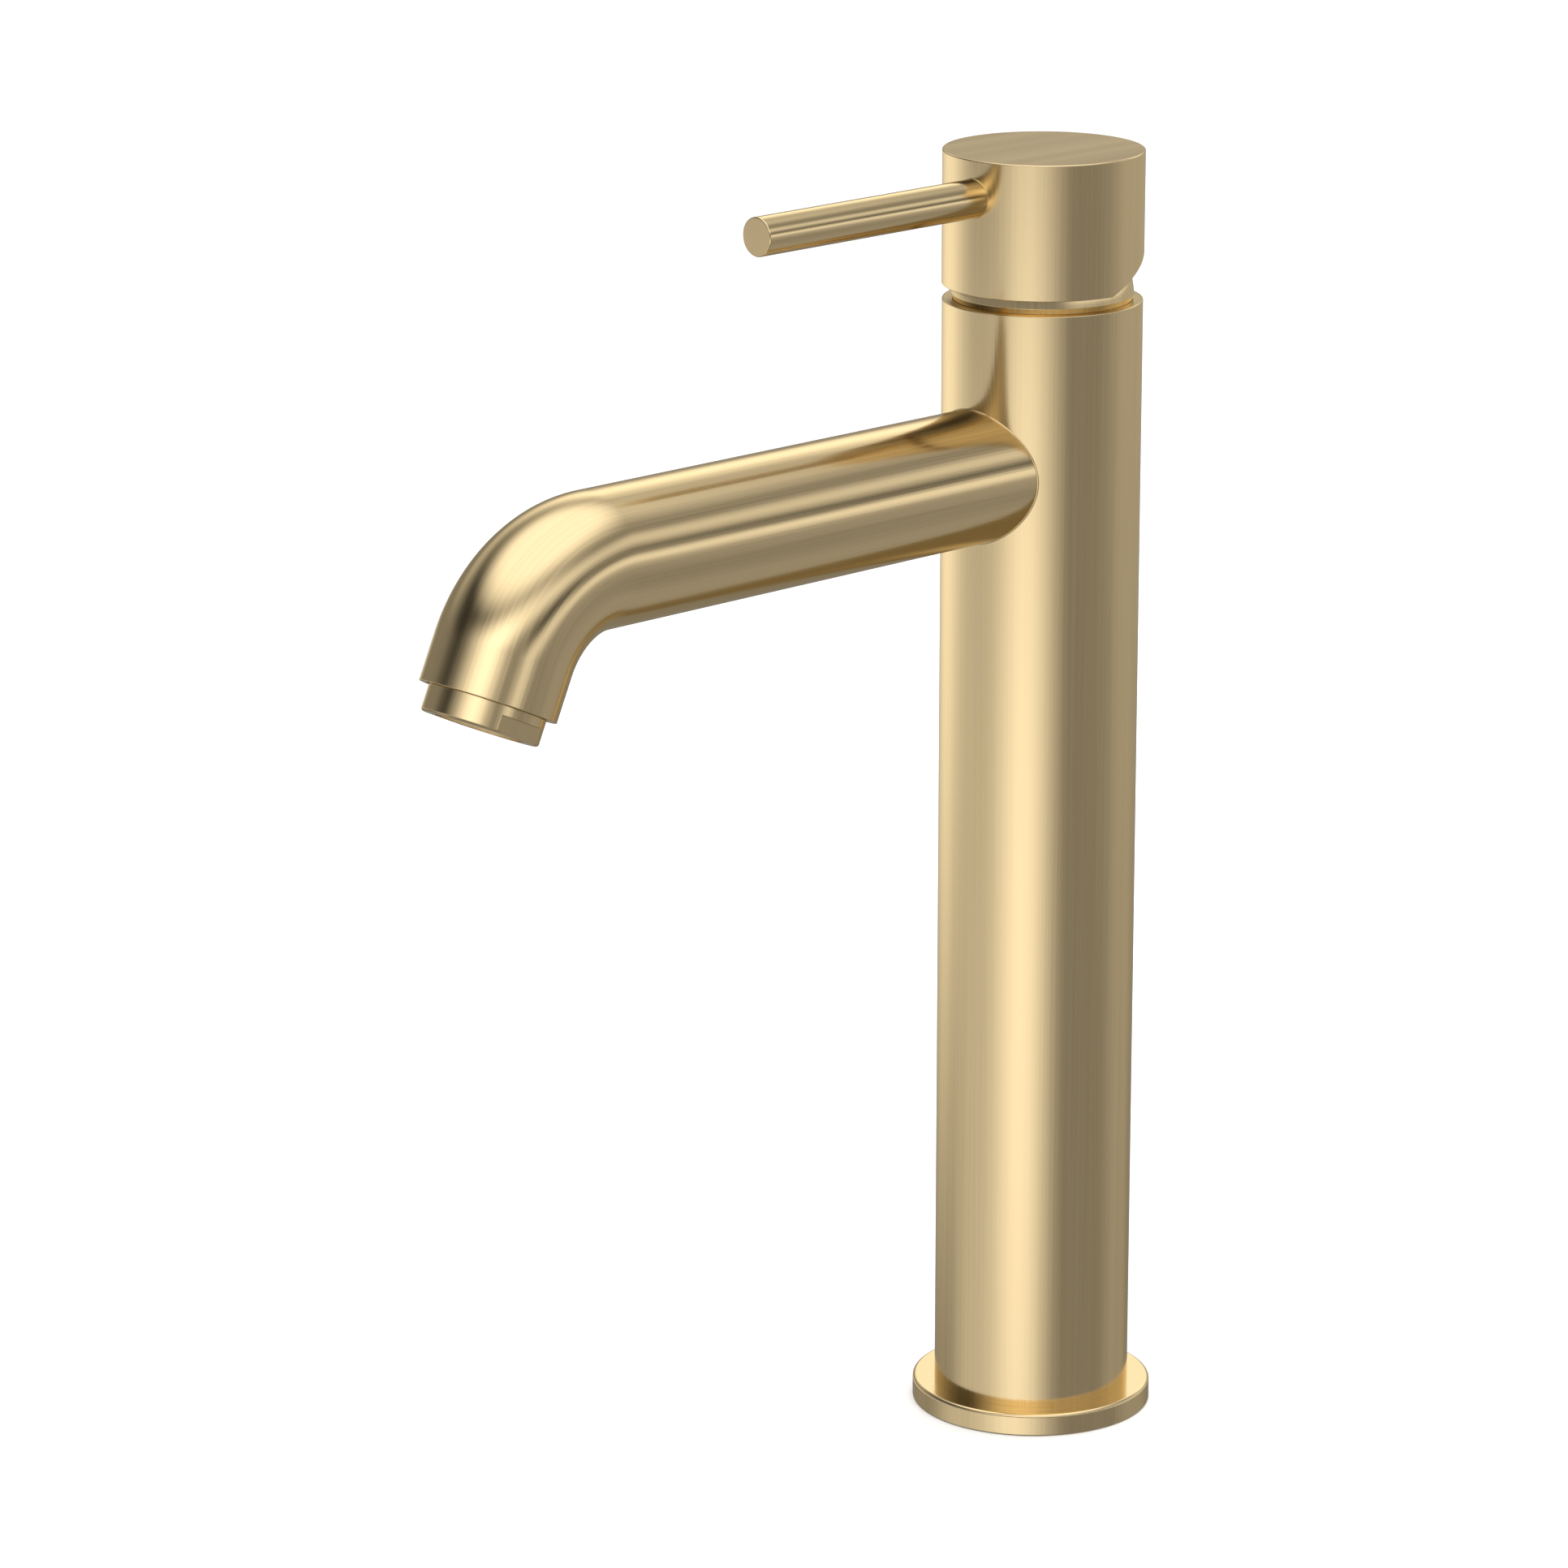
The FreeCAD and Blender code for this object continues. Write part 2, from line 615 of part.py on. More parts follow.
def seal_rings(name, low, height):
    """Flat rings round the three ports, for the seals and for their grooves."""
    spots = [("port_bore", "-port_spread", "-port_forward"), ("port_bore", "port_spread", "-port_forward")]
    spots.append(("outlet_bore", "0", "outlet_back"))
    rings = []
    for i, (bore, x, y) in enumerate(spots):
        body = ring(f"{name}{i}", f"{bore} / 2", f"{bore} / 2 + port_seal_width", low, f"{low} + {height}")
        rings.append(move(body, x, y, "0"))
    return rings


def cartridge_base():
    """The plastic base of the cartridge, with its ports, seal grooves and locating keys."""
    blank = turned(
        "PlateBlank",
        [
            ("0", PLATE_Z),
            ("cartridge_diameter / 2", PLATE_Z),
            ("cartridge_diameter / 2", HOUSING_Z),
            ("disc_room / 2 - running_gap", HOUSING_Z),
            ("disc_room / 2 - running_gap", FIXED_Z),
            ("0", FIXED_Z),
        ],
    )
    keys = key_rods("PlateKey", "key_diameter / 2", f"{SEAT_Z} - key_length")
    for key in keys:
        bind(key, Height="key_length + seal_squeeze")
    grooves = seal_rings("SealGroove", SEAT_Z, "port_seal_height")
    ports = through_ports("PlatePort", PLATE_Z, FIXED_Z)
    keep("cartridge_base", cut("CartridgeBase", join("PlateAndKeys", blank, *keys), *grooves, *ports))


def port_seals():
    """Three rubber rings between the cartridge's base and its seat."""
    keep("port_seals", group("PortSeals", *seal_rings("PortSeal", SEAT_Z, "port_seal_height")))


def cartridge_housing():
    """The cartridge's shell: a wide room for the discs, a narrower one for the rotor, and a lid."""
    room_top = f"({SEAT_Z} + disc_room_top)"
    lid_z = f"({HOUSING_TOP} - lid_thickness)"
    body = turned(
        "HousingBody",
        [
            ("disc_room / 2", HOUSING_Z),
            ("cartridge_diameter / 2", HOUSING_Z),
            ("cartridge_diameter / 2", SHOULDER_Z),
            ("neck_diameter / 2", SHOULDER_Z),
            ("neck_diameter / 2", HOUSING_TOP),
            ("lid_bore / 2", HOUSING_TOP),
            ("lid_bore / 2", lid_z),
            ("rotor_room / 2", lid_z),
            ("rotor_room / 2", room_top),
            ("disc_room / 2", room_top),
        ],
    )
    keep("cartridge_housing", body)


def fixed_disc():
    """The fixed ceramic disc, with the three ports through it."""
    blank = ring("FixedBlank", "0", "disc_room / 2 - 2 * running_gap", FIXED_Z, MOVING_Z)
    keep("fixed_disc", cut("FixedDisc", blank, *through_ports("FixedPort", FIXED_Z, MOVING_Z)))


def moving_disc():
    """The moving ceramic disc: its pocket joins the inlets to the outlet as it slides forward."""
    blank = ring("MovingBlank", "0", "moving_disc_diameter / 2", MOVING_Z, CARRIER_Z)
    pocket = rod("MixingPocket", "pocket_diameter / 2", "pocket_depth", z=MOVING_Z)
    sockets = drive_rods("DriveSocket", "drive_diameter / 2 + slip_gap", "drive_length + slip_gap")
    keep("moving_disc", cut("MovingDisc", blank, pocket, *sockets))


def drive_rods(name, radius, length):
    """Rods at the two drive pins between the carrier and the moving disc."""
    return both_sides(
        lambda sign, side: rod(
            f"{name}_{side}", radius, length, f"{sign}drive_spread", "0", f"{CARRIER_Z} - ({length})"
        )
    )


def rail_blocks(name, gap, length, low, height):
    """The carrier's two rails, or with a gap the grooves that they slide in."""
    width = f"(rail_width + 2 * {gap})"
    return [
        block(
            f"{name}_{side}",
            (width, length, height),
            (f"{sign}rail_spread - {width} / 2", f"-{length} / 2", low),
        )
        for sign, side in (("-", "hot"), ("", "cold"))
    ]


def disc_carrier():
    """The slide on the moving disc: the stem's ball drives it, and rails keep it in line."""
    top_z = f"({CARRIER_Z} + carrier_thickness)"
    blank = ring("CarrierBlank", "0", "carrier_diameter / 2", CARRIER_Z, top_z)
    rails = rail_blocks("Rail", "0", "rail_length", top_z, "rail_height")
    pins = drive_rods("DrivePin", "drive_diameter / 2", "drive_length")
    socket = rod("BallSocket", "ball_diameter / 2 + ball_gap", "carrier_thickness", z=CARRIER_Z)
    keep("disc_carrier", cut("DiscCarrier", join("CarrierAndRails", blank, *rails, *pins), socket))


def rotor():
    """The rotor turns in the housing with the lever and carries its pivot pin."""
    blank = ring("RotorBlank", "0", "rotor_diameter / 2", ROTOR_Z, ROTOR_TOP)
    width = "(stem_width + 2 * rail_gap)"
    slot = block(
        "RotorSlot",
        (width, "rotor_slot", f"{ROTOR_TOP} - {ROTOR_Z}"),
        (f"-{width} / 2", "-rotor_slot / 2", ROTOR_Z),
    )
    grooves = rail_blocks("RailGroove", "rail_gap", "rotor_diameter", ROTOR_Z, "rail_height")
    hole = rod(
        "RotorPinHole",
        "pivot_diameter / 2 + 0.01",
        "pivot_length + 2 * rail_gap",
        "-pivot_length / 2 - rail_gap",
        "0",
        PIVOT_Z,
        along="X",
    )
    keep("rotor", cut("Rotor", blank, slot, hole, *grooves))


def pivot_pin():
    """The steel pin that the lever tips on."""
    pin = rod("PivotPin", "pivot_diameter / 2", "pivot_length", "-pivot_length / 2", "0", PIVOT_Z, along="X")
    keep("pivot_pin", pin)


def lever_stem():
    """The cartridge's square stem, with its arm and ball below the pivot."""
    half = "stem_width / 2"
    square = block(
        "StemSquare",
        ("stem_width", "stem_width", "stem_below + stem_above"),
        (f"-{half}", f"-{half}", f"{PIVOT_Z} - stem_below"),
    )
    arm = rod("StemArm", "arm_diameter / 2", "ball_drop - stem_below + 1", z=f"{PIVOT_Z} - ball_drop")
    bead = ball("StemBall", "ball_diameter / 2", f"{PIVOT_Z} - ball_drop")
    hole = rod(
        "StemHole",
        "pivot_diameter / 2 + running_gap",
        "stem_width",
        f"-{half}",
        "0",
        PIVOT_Z,
        along="X",
    )
    keep("lever_stem", cut("LeverStem", join("StemBlank", square, arm, bead), hole))


# ---------------------------------------------------------------- handle


def handle_cap():
    """The round cap over the cartridge, cut away under its back so that it can tip."""
    outer_r, inner_r = "cap_diameter / 2", "(cap_diameter / 2 - cap_wall)"
    shell = turned(
        "CapShell",
        [
            (inner_r, CAP_Z),
            (outer_r, CAP_Z),
            (outer_r, f"{CAP_TOP} - cap_edge"),
            (f"{outer_r} - cap_edge", CAP_TOP),
            ("0", CAP_TOP),
            ("0", CEILING_Z),
            (inner_r, CEILING_Z),
        ],
    )
    boss_z = f"({CEILING_Z} - boss_length)"
    boss = block(
        "CapBoss",
        ("boss_width", "boss_width", f"boss_length + cap_ceiling / 2"),
        ("-boss_width / 2", "-boss_width / 2", boss_z),
    )
    lug = rod("CapLug", "lug_diameter / 2", f"{outer_r} - cap_wall / 2", z=PIN_Z, along="-Y")
    envelope = rod("CapEnvelope", f"{outer_r} - cap_edge", "cap_height - cap_edge", z=CAP_Z)
    solid = join("CapSolid", shell, boss, common("CapLugTrimmed", lug, envelope))
    stem = "(stem_width + 2 * stem_gap)"
    socket_top = f"({PIVOT_Z} + stem_above + 4 * stem_gap)"
    socket = block(
        "StemSocket",
        (stem, stem, f"{socket_top} - {boss_z}"),
        (f"-{stem} / 2", f"-{stem} / 2", boss_z),
    )
    tapped = rod("LeverThread", "pin_thread / 2 + thread_gap", outer_r, z=PIN_Z, along="-Y")
    seat = rod(
        "PinSeat",
        "pin_diameter / 2 + slip_gap",
        "2 * pin_seat",
        y=f"-{PIN_SEAT_Y}",
        z=PIN_Z,
        along="-Y",
    )
    relief = block("CapRelief", ("2 * cap_diameter", "cap_diameter", "cap_height"), ("0", "0", "0"))
    relief.Placement.Rotation = FreeCAD.Rotation(X_AXIS, number("relief_angle"))
    relief.setExpression("Placement.Rotation.Angle", formula("relief_angle"))
    move(
        relief,
        "-cap_diameter",
        "-relief_start + cap_height * sin(relief_angle)",
        f"{CAP_Z} - cap_height * cos(relief_angle)",
    )
    keep("handle_cap", cut("HandleCap", solid, socket, tapped, seat, relief))


def lever_pin():
    """The round lever, screwed into the cap against a flat seat; its own frame runs along its axis."""
    outer_r, thread_r = "pin_diameter / 2", "pin_thread / 2"
    body = turned(
        "LeverPinBody",
        [
            ("0", f"{PIN_SEAT_Y} - pin_thread_length"),
            (thread_r, f"{PIN_SEAT_Y} - pin_thread_length"),
            (thread_r, PIN_SEAT_Y),
            (outer_r, PIN_SEAT_Y),
            (outer_r, "pin_reach - pin_edge"),
            (f"{outer_r} - pin_edge", "pin_reach"),
            ("0", "pin_reach"),
        ],
    )
    keep("lever_pin", body, FreeCAD.Placement(V(0, 0, number(PIN_Z)), FreeCAD.Rotation(X_AXIS, 90)))


def grub_screw():
    """The screw behind the lever pin that locks the cap on the stem."""
    blank = rod("GrubBlank", "pin_thread / 2", "grub_length", y="-stem_width / 2", z=PIN_Z, along="-Y")
    socket = doc.addObject("Part::Prism", "GrubSocket")
    socket.Polygon = 6
    bind(socket, Circumradius="hex_width / 2 / cos(30)", Height="hex_depth")
    socket.Placement.Rotation = FreeCAD.Rotation(X_AXIS, 90)
    move(socket, y="-(stem_width / 2 + grub_length - hex_depth)", z=PIN_Z)
    keep("grub_screw", cut("GrubScrew", blank, socket))


# ---------------------------------------------------------------- spout and aerator


def spout_tube():
    """The spout: one tube swept along a straight run, a bend and a short end, cut to the column."""
    bend_x = "(spout_reach + bend_radius * sin(bend_angle))"
    bend_z = "(spout_height - bend_radius * (1 - cos(bend_angle)))"
    end_x = f"({bend_x} + spout_end * cos(bend_angle))"
    end_z = f"({bend_z} - spout_end * sin(bend_angle))"
    body = doc.addObject("PartDesign::Body", "SpoutBody")
    spine = new_sketch(body, "SpoutLine", "YZ_Plane")
    spout_line(spine, bend_x, bend_z, end_x, end_z)
    for name, kind, radius in (
        ("SpoutOutside", "PartDesign::AdditivePipe", "spout_diameter / 2"),
        ("SpoutInside", "PartDesign::SubtractivePipe", SPOUT_BORE_R),
    ):
        ring_sketch = new_sketch(body, name + "Ring", "XZ_Plane")
        round_at(ring_sketch, radius, "spout_height")
        pipe = body.newObject(kind, name)
        pipe.Profile = ring_sketch
        pipe.Spine = (spine, [])
        body.Tip = pipe
        doc.recompute()
    fill = rod("ColumnSpace", COLUMN_R, "column_height")
    keep("spout_tube", cut("Spout", body, fill))
    return number(end_x), number(end_z)


def spout_line(sketch, bend_x, bend_z, end_x, end_z):
    """The spout's axis in the YZ plane: a level run, an arc that drops, and a straight end."""
    height, reach, radius = number("spout_height"), number("spout_reach"), number("bend_radius")
    centre = V(-reach, height - radius, 0)
    corner, bend = V(-reach, height, 0), V(-number(bend_x), number(bend_z), 0)
    end = V(-number(end_x), number(end_z), 0)
    start_angle = math.pi / 2
    circle = Part.Circle(centre, Z_AXIS, radius)
    turn = math.radians(number("bend_angle"))
    sketch.addGeometry(Part.LineSegment(V(0, height, 0), corner), False)
    sketch.addGeometry(Part.ArcOfCircle(circle, start_angle, start_angle + turn), False)
    sketch.addGeometry(Part.LineSegment(bend, end), False)
    sketch.addConstraint(Sketcher.Constraint("Coincident", 0, 2, 1, 1))
    sketch.addConstraint(Sketcher.Constraint("Coincident", 1, 2, 2, 1))
    pin_point(sketch, 0, 1, "0", "spout_height")
    pin_point(sketch, 0, 2, "-spout_reach", "spout_height")
    pin_point(sketch, 1, 3, "-spout_reach", "spout_height - bend_radius")
    pin_point(sketch, 1, 2, f"-{bend_x}", None)
    pin_point(sketch, 2, 2, f"-{end_x}", end_z)


def round_at(sketch, radius, height):
    """A circle on the sketch's upright axis."""
    sketch.addGeometry(Part.Circle(V(0, number(height), 0), Z_AXIS, number(radius)), False)
    pin_point(sketch, 0, 3, "0", height)
    index = sketch.addConstraint(Sketcher.Constraint("Radius", 0, number(radius)))
    sketch.setExpression(f"Constraints[{index}]", formula(radius))


def outlet_place(end_y, end_z):
    """The frame of the spout's end: its own -Z leaves the outlet along the tube's axis."""
    lean = FreeCAD.Rotation(X_AXIS, number("bend_angle") - 90)
    return FreeCAD.Placement(V(0, -end_y, end_z), lean)


THREAD_R = "aerator_thread / 2"
BUSH_TOP = "(bush_setback + bush_length)"


def outlet_bush(place):
    """The threaded bush brazed inside the spout's end, with a shoulder for the washer."""
    outer_r = f"{SPOUT_BORE_R} - slip_gap"
    bore_r = f"({THREAD_R} + thread_gap)"
    body = turned(
        "BushBody",
        [
            (bore_r, "bush_setback"),
            (outer_r, "bush_setback"),
            (outer_r, BUSH_TOP),
            (f"{bore_r} - washer_width", BUSH_TOP),
            (f"{bore_r} - washer_width", f"{BUSH_TOP} - bush_lip"),
            (bore_r, f"{BUSH_TOP} - bush_lip"),
        ],
    )
    keep("outlet_bush", body, place)


def aerator_washer(place):
    """The rubber washer between the bush's shoulder and the aerator."""
    high = f"{BUSH_TOP} - bush_lip"
    washer = ring("WasherBody", f"{THREAD_R} - washer_width", THREAD_R, f"{high} - washer_height", high)
    keep("aerator_washer", washer, place)


def aerator_housing(place):
    """The aerator's brass shell: a threaded shank, a collar with two spanner flats and a lip."""
    collar_r, bore_r = "aerator_diameter / 2", "aerator_bore / 2"
    shank_top = f"{BUSH_TOP} - bush_lip - washer_height"
    low = "-aerator_drop"
    body = turned(
        "AeratorBody",
        [
            (f"{bore_r} - aerator_lip", low),
            (f"{collar_r} - aerator_edge", low),
            (collar_r, f"{low} + aerator_edge"),
            (collar_r, "0"),
            (THREAD_R, "0"),
            (THREAD_R, shank_top),
            (bore_r, shank_top),
            (bore_r, f"{low} + aerator_lip"),
            (f"{bore_r} - aerator_lip", f"{low} + aerator_lip"),
        ],
    )
    height = "(aerator_drop - flats_start)"
    flats = both_sides(
        lambda sign, side: block(
            f"Flat_{side}",
            ("aerator_diameter", "2 * aerator_diameter", height),
            (
                "aerator_flats / 2" if sign == "" else "-aerator_flats / 2 - aerator_diameter",
                "-aerator_diameter",
                low,
            ),
        )
    )
    keep("aerator_housing", cut("Aerator", body, *flats), place)


COMB_Z = "(aerator_lip - aerator_drop)"
SCREEN_Z = f"({COMB_Z} + comb_height)"
REGULATOR_Z = f"({SCREEN_Z} + screen_thickness)"
INNER_R = "(aerator_bore / 2 - slip_gap)"


def aerator_honeycomb(place):
    """The plastic insert that straightens the stream: rings of cells on a hexagonal grid."""
    blank = ring("CombBlank", "0", INNER_R, COMB_Z, SCREEN_Z)
    reach = number(INNER_R) - number("cell_bore") / 2 - number("screen_thickness")
    pitch = number("cell_pitch")
    count = int(reach / pitch)
    cells = []
    for a in range(-count - 1, count + 2):
        for b in range(-count - 1, count + 2):
            x, y = pitch * (a + b / 2), pitch * b * math.sqrt(3) / 2
            if math.hypot(x, y) <= reach:
                spot = (f"cell_pitch * {a + b / 2}", f"cell_pitch * {b} * sqrt(3) / 2")
                cells.append(rod(f"Cell{len(cells)}", "cell_bore / 2", "comb_height", *spot, COMB_Z))
    keep("aerator_honeycomb", cut("Honeycomb", blank, *cells), place)


def aerator_screen(place):
    """The fine wire screen over the honeycomb, as a thin disc."""
    keep("aerator_screen", ring("ScreenBody", "0", INNER_R, SCREEN_Z, REGULATOR_Z), place)


def flow_regulator(place):
    """The regulator cup: water enters through slots in its wall."""
    high = f"{REGULATOR_Z} + regulator_height"
    inner_r = f"{INNER_R} - regulator_wall"
    cup = turned(
        "RegulatorCup",
        [
            ("0", f"{high} - regulator_wall"),
            (inner_r, f"{high} - regulator_wall"),
            (inner_r, REGULATOR_Z),
            (INNER_R, REGULATOR_Z),
            (INNER_R, high),
            ("0", high),
        ],
    )
    slots = []
    width = "regulator_wall"
    for i in range(8):
        slot = block(f"RegulatorSlot{i}", (INNER_R, width, "regulator_height"), ("0", "0", REGULATOR_Z))
        slot.Placement = FreeCAD.Placement(V(), FreeCAD.Rotation(Z_AXIS, 45 * i))
        offset = f"({INNER_R} / 3)"
        move(slot, f"{offset} * cos({45 * i})", f"{offset} * sin({45 * i})", f"{REGULATOR_Z} + regulator_wall")
        slots.append(slot)
    keep("flow_regulator", cut("Regulator", cup, *slots), place)


def check_and_write():
    """Stops on any failed object or bad shape, then writes each sub-part to its own file."""
    doc.recompute()
    for thing in doc.Objects:
        if "Invalid" in thing.State or "Error" in thing.State:
            raise RuntimeError(f"{thing.Label} failed: {thing.State}")
    for label, thing in pieces.items():
        shape = thing.Shape
        if shape.isNull() or not shape.isValid() or not shape.Solids:
            raise RuntimeError(f"{label} has no valid solid")
        if any(solid.Volume <= 0 for solid in shape.Solids):
            raise RuntimeError(f"{label} has a solid with no volume")
    os.makedirs("parts", exist_ok=True)
    for label, thing in pieces.items():
        thing.Shape.exportStep(f"parts/{label}.step")
        box = thing.Shape.BoundBox
        print(
            f"{label:22s} solids {len(thing.Shape.Solids):2d}  volume {thing.Shape.Volume:10.1f}"
            f"  z {box.ZMin:7.2f} to {box.ZMax:7.2f}  y {box.YMin:8.2f} to {box.YMax:7.2f}"
        )


def main():
    for make in (base_flange, deck_gasket, column_tube, base_insert, base_retaining_ring, risers):
        make()
    for make in (riser_seals, valve_body, retaining_nut, bonnet, cartridge_base, port_seals):
        make()
    for make in (cartridge_housing, fixed_disc, moving_disc, disc_carrier, rotor, pivot_pin):
        make()
    for make in (lever_stem, handle_cap, lever_pin, grub_screw):
        make()
    place = outlet_place(*spout_tube())
    for make in (outlet_bush, aerator_washer, aerator_housing, aerator_honeycomb):
        make(place)
    for make in (aerator_screen, flow_regulator):
        make(place)
    check_and_write()


main()
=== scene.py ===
import bpy
import bmesh
import json
from math import acos, asin, atan2, cos, pi, radians, sin, sqrt, tan
from mathutils import Matrix, Vector


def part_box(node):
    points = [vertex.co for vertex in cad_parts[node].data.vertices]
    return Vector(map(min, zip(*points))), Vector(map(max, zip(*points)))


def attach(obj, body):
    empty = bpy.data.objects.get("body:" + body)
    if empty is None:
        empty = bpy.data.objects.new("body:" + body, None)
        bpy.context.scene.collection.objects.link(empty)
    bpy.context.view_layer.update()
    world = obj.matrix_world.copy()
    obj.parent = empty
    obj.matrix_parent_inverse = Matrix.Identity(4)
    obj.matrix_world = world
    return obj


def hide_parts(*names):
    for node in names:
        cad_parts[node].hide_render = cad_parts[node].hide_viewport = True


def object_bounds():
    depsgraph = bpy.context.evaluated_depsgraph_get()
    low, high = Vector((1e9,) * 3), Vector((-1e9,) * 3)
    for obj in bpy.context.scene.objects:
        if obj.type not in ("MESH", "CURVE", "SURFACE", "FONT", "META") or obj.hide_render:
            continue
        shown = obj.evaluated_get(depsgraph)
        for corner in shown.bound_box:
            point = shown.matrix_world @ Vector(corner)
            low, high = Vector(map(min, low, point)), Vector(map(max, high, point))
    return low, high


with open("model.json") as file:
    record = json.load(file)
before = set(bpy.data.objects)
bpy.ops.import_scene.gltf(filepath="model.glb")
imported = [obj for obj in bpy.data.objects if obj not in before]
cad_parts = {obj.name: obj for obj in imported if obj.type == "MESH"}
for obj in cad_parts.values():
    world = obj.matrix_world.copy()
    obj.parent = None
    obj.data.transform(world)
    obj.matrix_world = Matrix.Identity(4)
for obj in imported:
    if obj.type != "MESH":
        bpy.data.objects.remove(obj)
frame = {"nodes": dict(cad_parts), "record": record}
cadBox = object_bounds()
mm = 0.001
tiny = 1e-9  # lengths under this count as nothing
print("frame loaded:", len(frame["nodes"]), "CAD nodes")


def linear(hexColour):  # sRGB hex to a linear colour
    parts = [int(hexColour[i:i + 2], 16) / 255 for i in (1, 3, 5)]
    return tuple(c / 12.92 if c <= 0.04045 else ((c + 0.055) / 1.055) ** 2.4 for c in parts) + (1.0,)


def addNode(tree, kind, sockets=None, **settings):  # a socket gets a value, or a link from another socket
    node = tree.nodes.new(kind)
    for name, value in settings.items():
        setattr(node, name, value)
    for key, value in (sockets or {}).items():
        if isinstance(value, bpy.types.NodeSocket):
            tree.links.new(value, node.inputs[key])
        else:
            node.inputs[key].default_value = value
    return node


def size(node):  # a CAD node's lowest corner, highest corner and lengths
    low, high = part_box(node)
    return low, high, high - low


def roundedProfile(corners, steps=4):
    # corners are (radius, height, round) in metres, with the solid on the left of the way round;
    # gives (radius, height, normal radius, normal height) with a true arc at each corner
    found = []
    for i, (r, z, soft) in enumerate(corners):
        here = Vector((r, z))
        way1 = here - Vector(corners[i - 1][:2])
        way2 = Vector(corners[(i + 1) % len(corners)][:2]) - here
        if r < tiny:  # a pole on the axis
            up = 1 if way1.length > tiny and way1.x < 0 else -1
            found.append((0.0, z, 0.0, float(up)))
            continue
        way1.normalize()
        way2.normalize()
        turn = atan2(way1.x * way2.y - way1.y * way2.x, way1.dot(way2))
        normal = Vector((way1.y, -way1.x))
        back = soft * tan(abs(turn) / 2)
        sign = 1 if turn > 0 else -1
        centre = here - way1 * back - normal * soft * sign
        for k in range(steps + 1):
            a = turn * k / steps
            n = Vector((normal.x * cos(a) - normal.y * sin(a),
                        normal.x * sin(a) + normal.y * cos(a)))
            p = centre + n * soft * sign
            found.append((p.x, p.y, n.x, n.y))
    return found


# how far the brush pattern is stretched on a flat face, and how level a face has to be to count as flat
flatFaces = {"lapped": 0.06, "roundAcross": 0.02, "roundAlong": 0.5, "level": 0.75, "collarLevel": 0.7}


def brushAt(x, y, z, flat, grain):
    # where a point lies in the brushed pattern, whose lines run along the third number
    if not flat:
        return (x, y, z)
    if grain == "straight":  # a lapped face: its lines are almost gone
        return (x * flatFaces["lapped"], z, y * flatFaces["lapped"])
    # a turned face: its lines run round
    return (sqrt(x * x + y * y), y * flatFaces["roundAcross"], x * flatFaces["roundAlong"])


def newObject(name, data):  # an object for a mesh, a lamp or a camera, in the scene
    made = bpy.data.objects.new(name, data)
    bpy.context.scene.collection.objects.link(made)
    return made


def turnedPiece(name, profile, place=None, angles=None, shift=None, grain="turned", around=160):
    # a lathe-turned mesh with exact normals, its brush pattern and its UV map
    place = place or Matrix()
    angles = angles or [2 * pi * k / around for k in range(around)]
    count = len(angles)
    closed = all(p[0] > tiny for p in profile)
    verts, normals, rows = [], [], []
    for r, z, nr, nz in profile:
        if r < tiny:
            rows.append([len(verts)] * count)
            verts.append(Vector((0, 0, z)))
            normals.append(Vector((0, 0, nz)))
            continue
        rows.append(list(range(len(verts), len(verts) + count)))
        for a in angles:
            spot = Vector((r * cos(a), r * sin(a), z))
            verts.append(shift(spot) if shift else spot)
            normals.append(Vector((nr * cos(a), nr * sin(a), nz)))
    faces, uvs = [], []
    length = 0.0
    for i in range(len(profile) if closed else len(profile) - 1):
        here, there = rows[i], rows[(i + 1) % len(profile)]
        p, q = profile[i], profile[(i + 1) % len(profile)]
        step = sqrt((p[0] - q[0]) ** 2 + (p[1] - q[1]) ** 2)
        if step < tiny:
            continue
        for j in range(count):
            k = (j + 1) % count
            ring = [here[j], here[k], there[k], there[j]]
            turn = [angles[j], angles[j + 1] if k else 2 * pi + angles[0]]
            wide = max(p[0], q[0])
            spots = [(turn[0] * wide, length), (turn[1] * wide, length),
                     (turn[1] * wide, length + step), (turn[0] * wide, length + step)]
            keep = [n for n in range(4) if ring[n] not in ring[:n]]
            if len(keep) > 2:
                faces.append([ring[n] for n in keep])
                uvs.append([spots[n] for n in keep])
        length += step
    mesh = bpy.data.meshes.new(name)
    mesh.from_pydata([place @ v for v in verts], [], faces)
    brush = mesh.attributes.new("brushPath", "FLOAT_VECTOR", "CORNER")
    layer = mesh.uv_layers.new(name="brushMap")
    for face, spots in zip(mesh.polygons, uvs):
        upright = sum((normals[v] for v in face.vertices), Vector()).normalized()
        flat = abs(upright.z) > flatFaces["level"]
        for loop, v, spot in zip(face.loop_indices, face.vertices, spots):
            brush.data[loop].vector = brushAt(*verts[v], flat, grain)
            layer.data[loop].uv = (verts[v].x, verts[v].y) if flat and grain == "straight" else spot
    mesh.polygons.foreach_set("use_smooth", [True] * len(mesh.polygons))
    turnOnly = place.to_3x3()
    mesh.normals_split_custom_set_from_vertices([(turnOnly @ n).normalized() for n in normals])
    return newObject(name, mesh)


def meshFromNodes(name, tree, values):
    # runs a node tree on an empty mesh and keeps the result as a plain mesh
    piece = newObject(name, bpy.data.meshes.new(name + "Start"))
    modifier = piece.modifiers.new("shape", "NODES")
    modifier.node_group = tree
    for socket in tree.interface.items_tree:
        if socket.in_out == "INPUT" and socket.name in values:
            modifier[socket.identifier] = values[socket.name]
    return applied(piece)


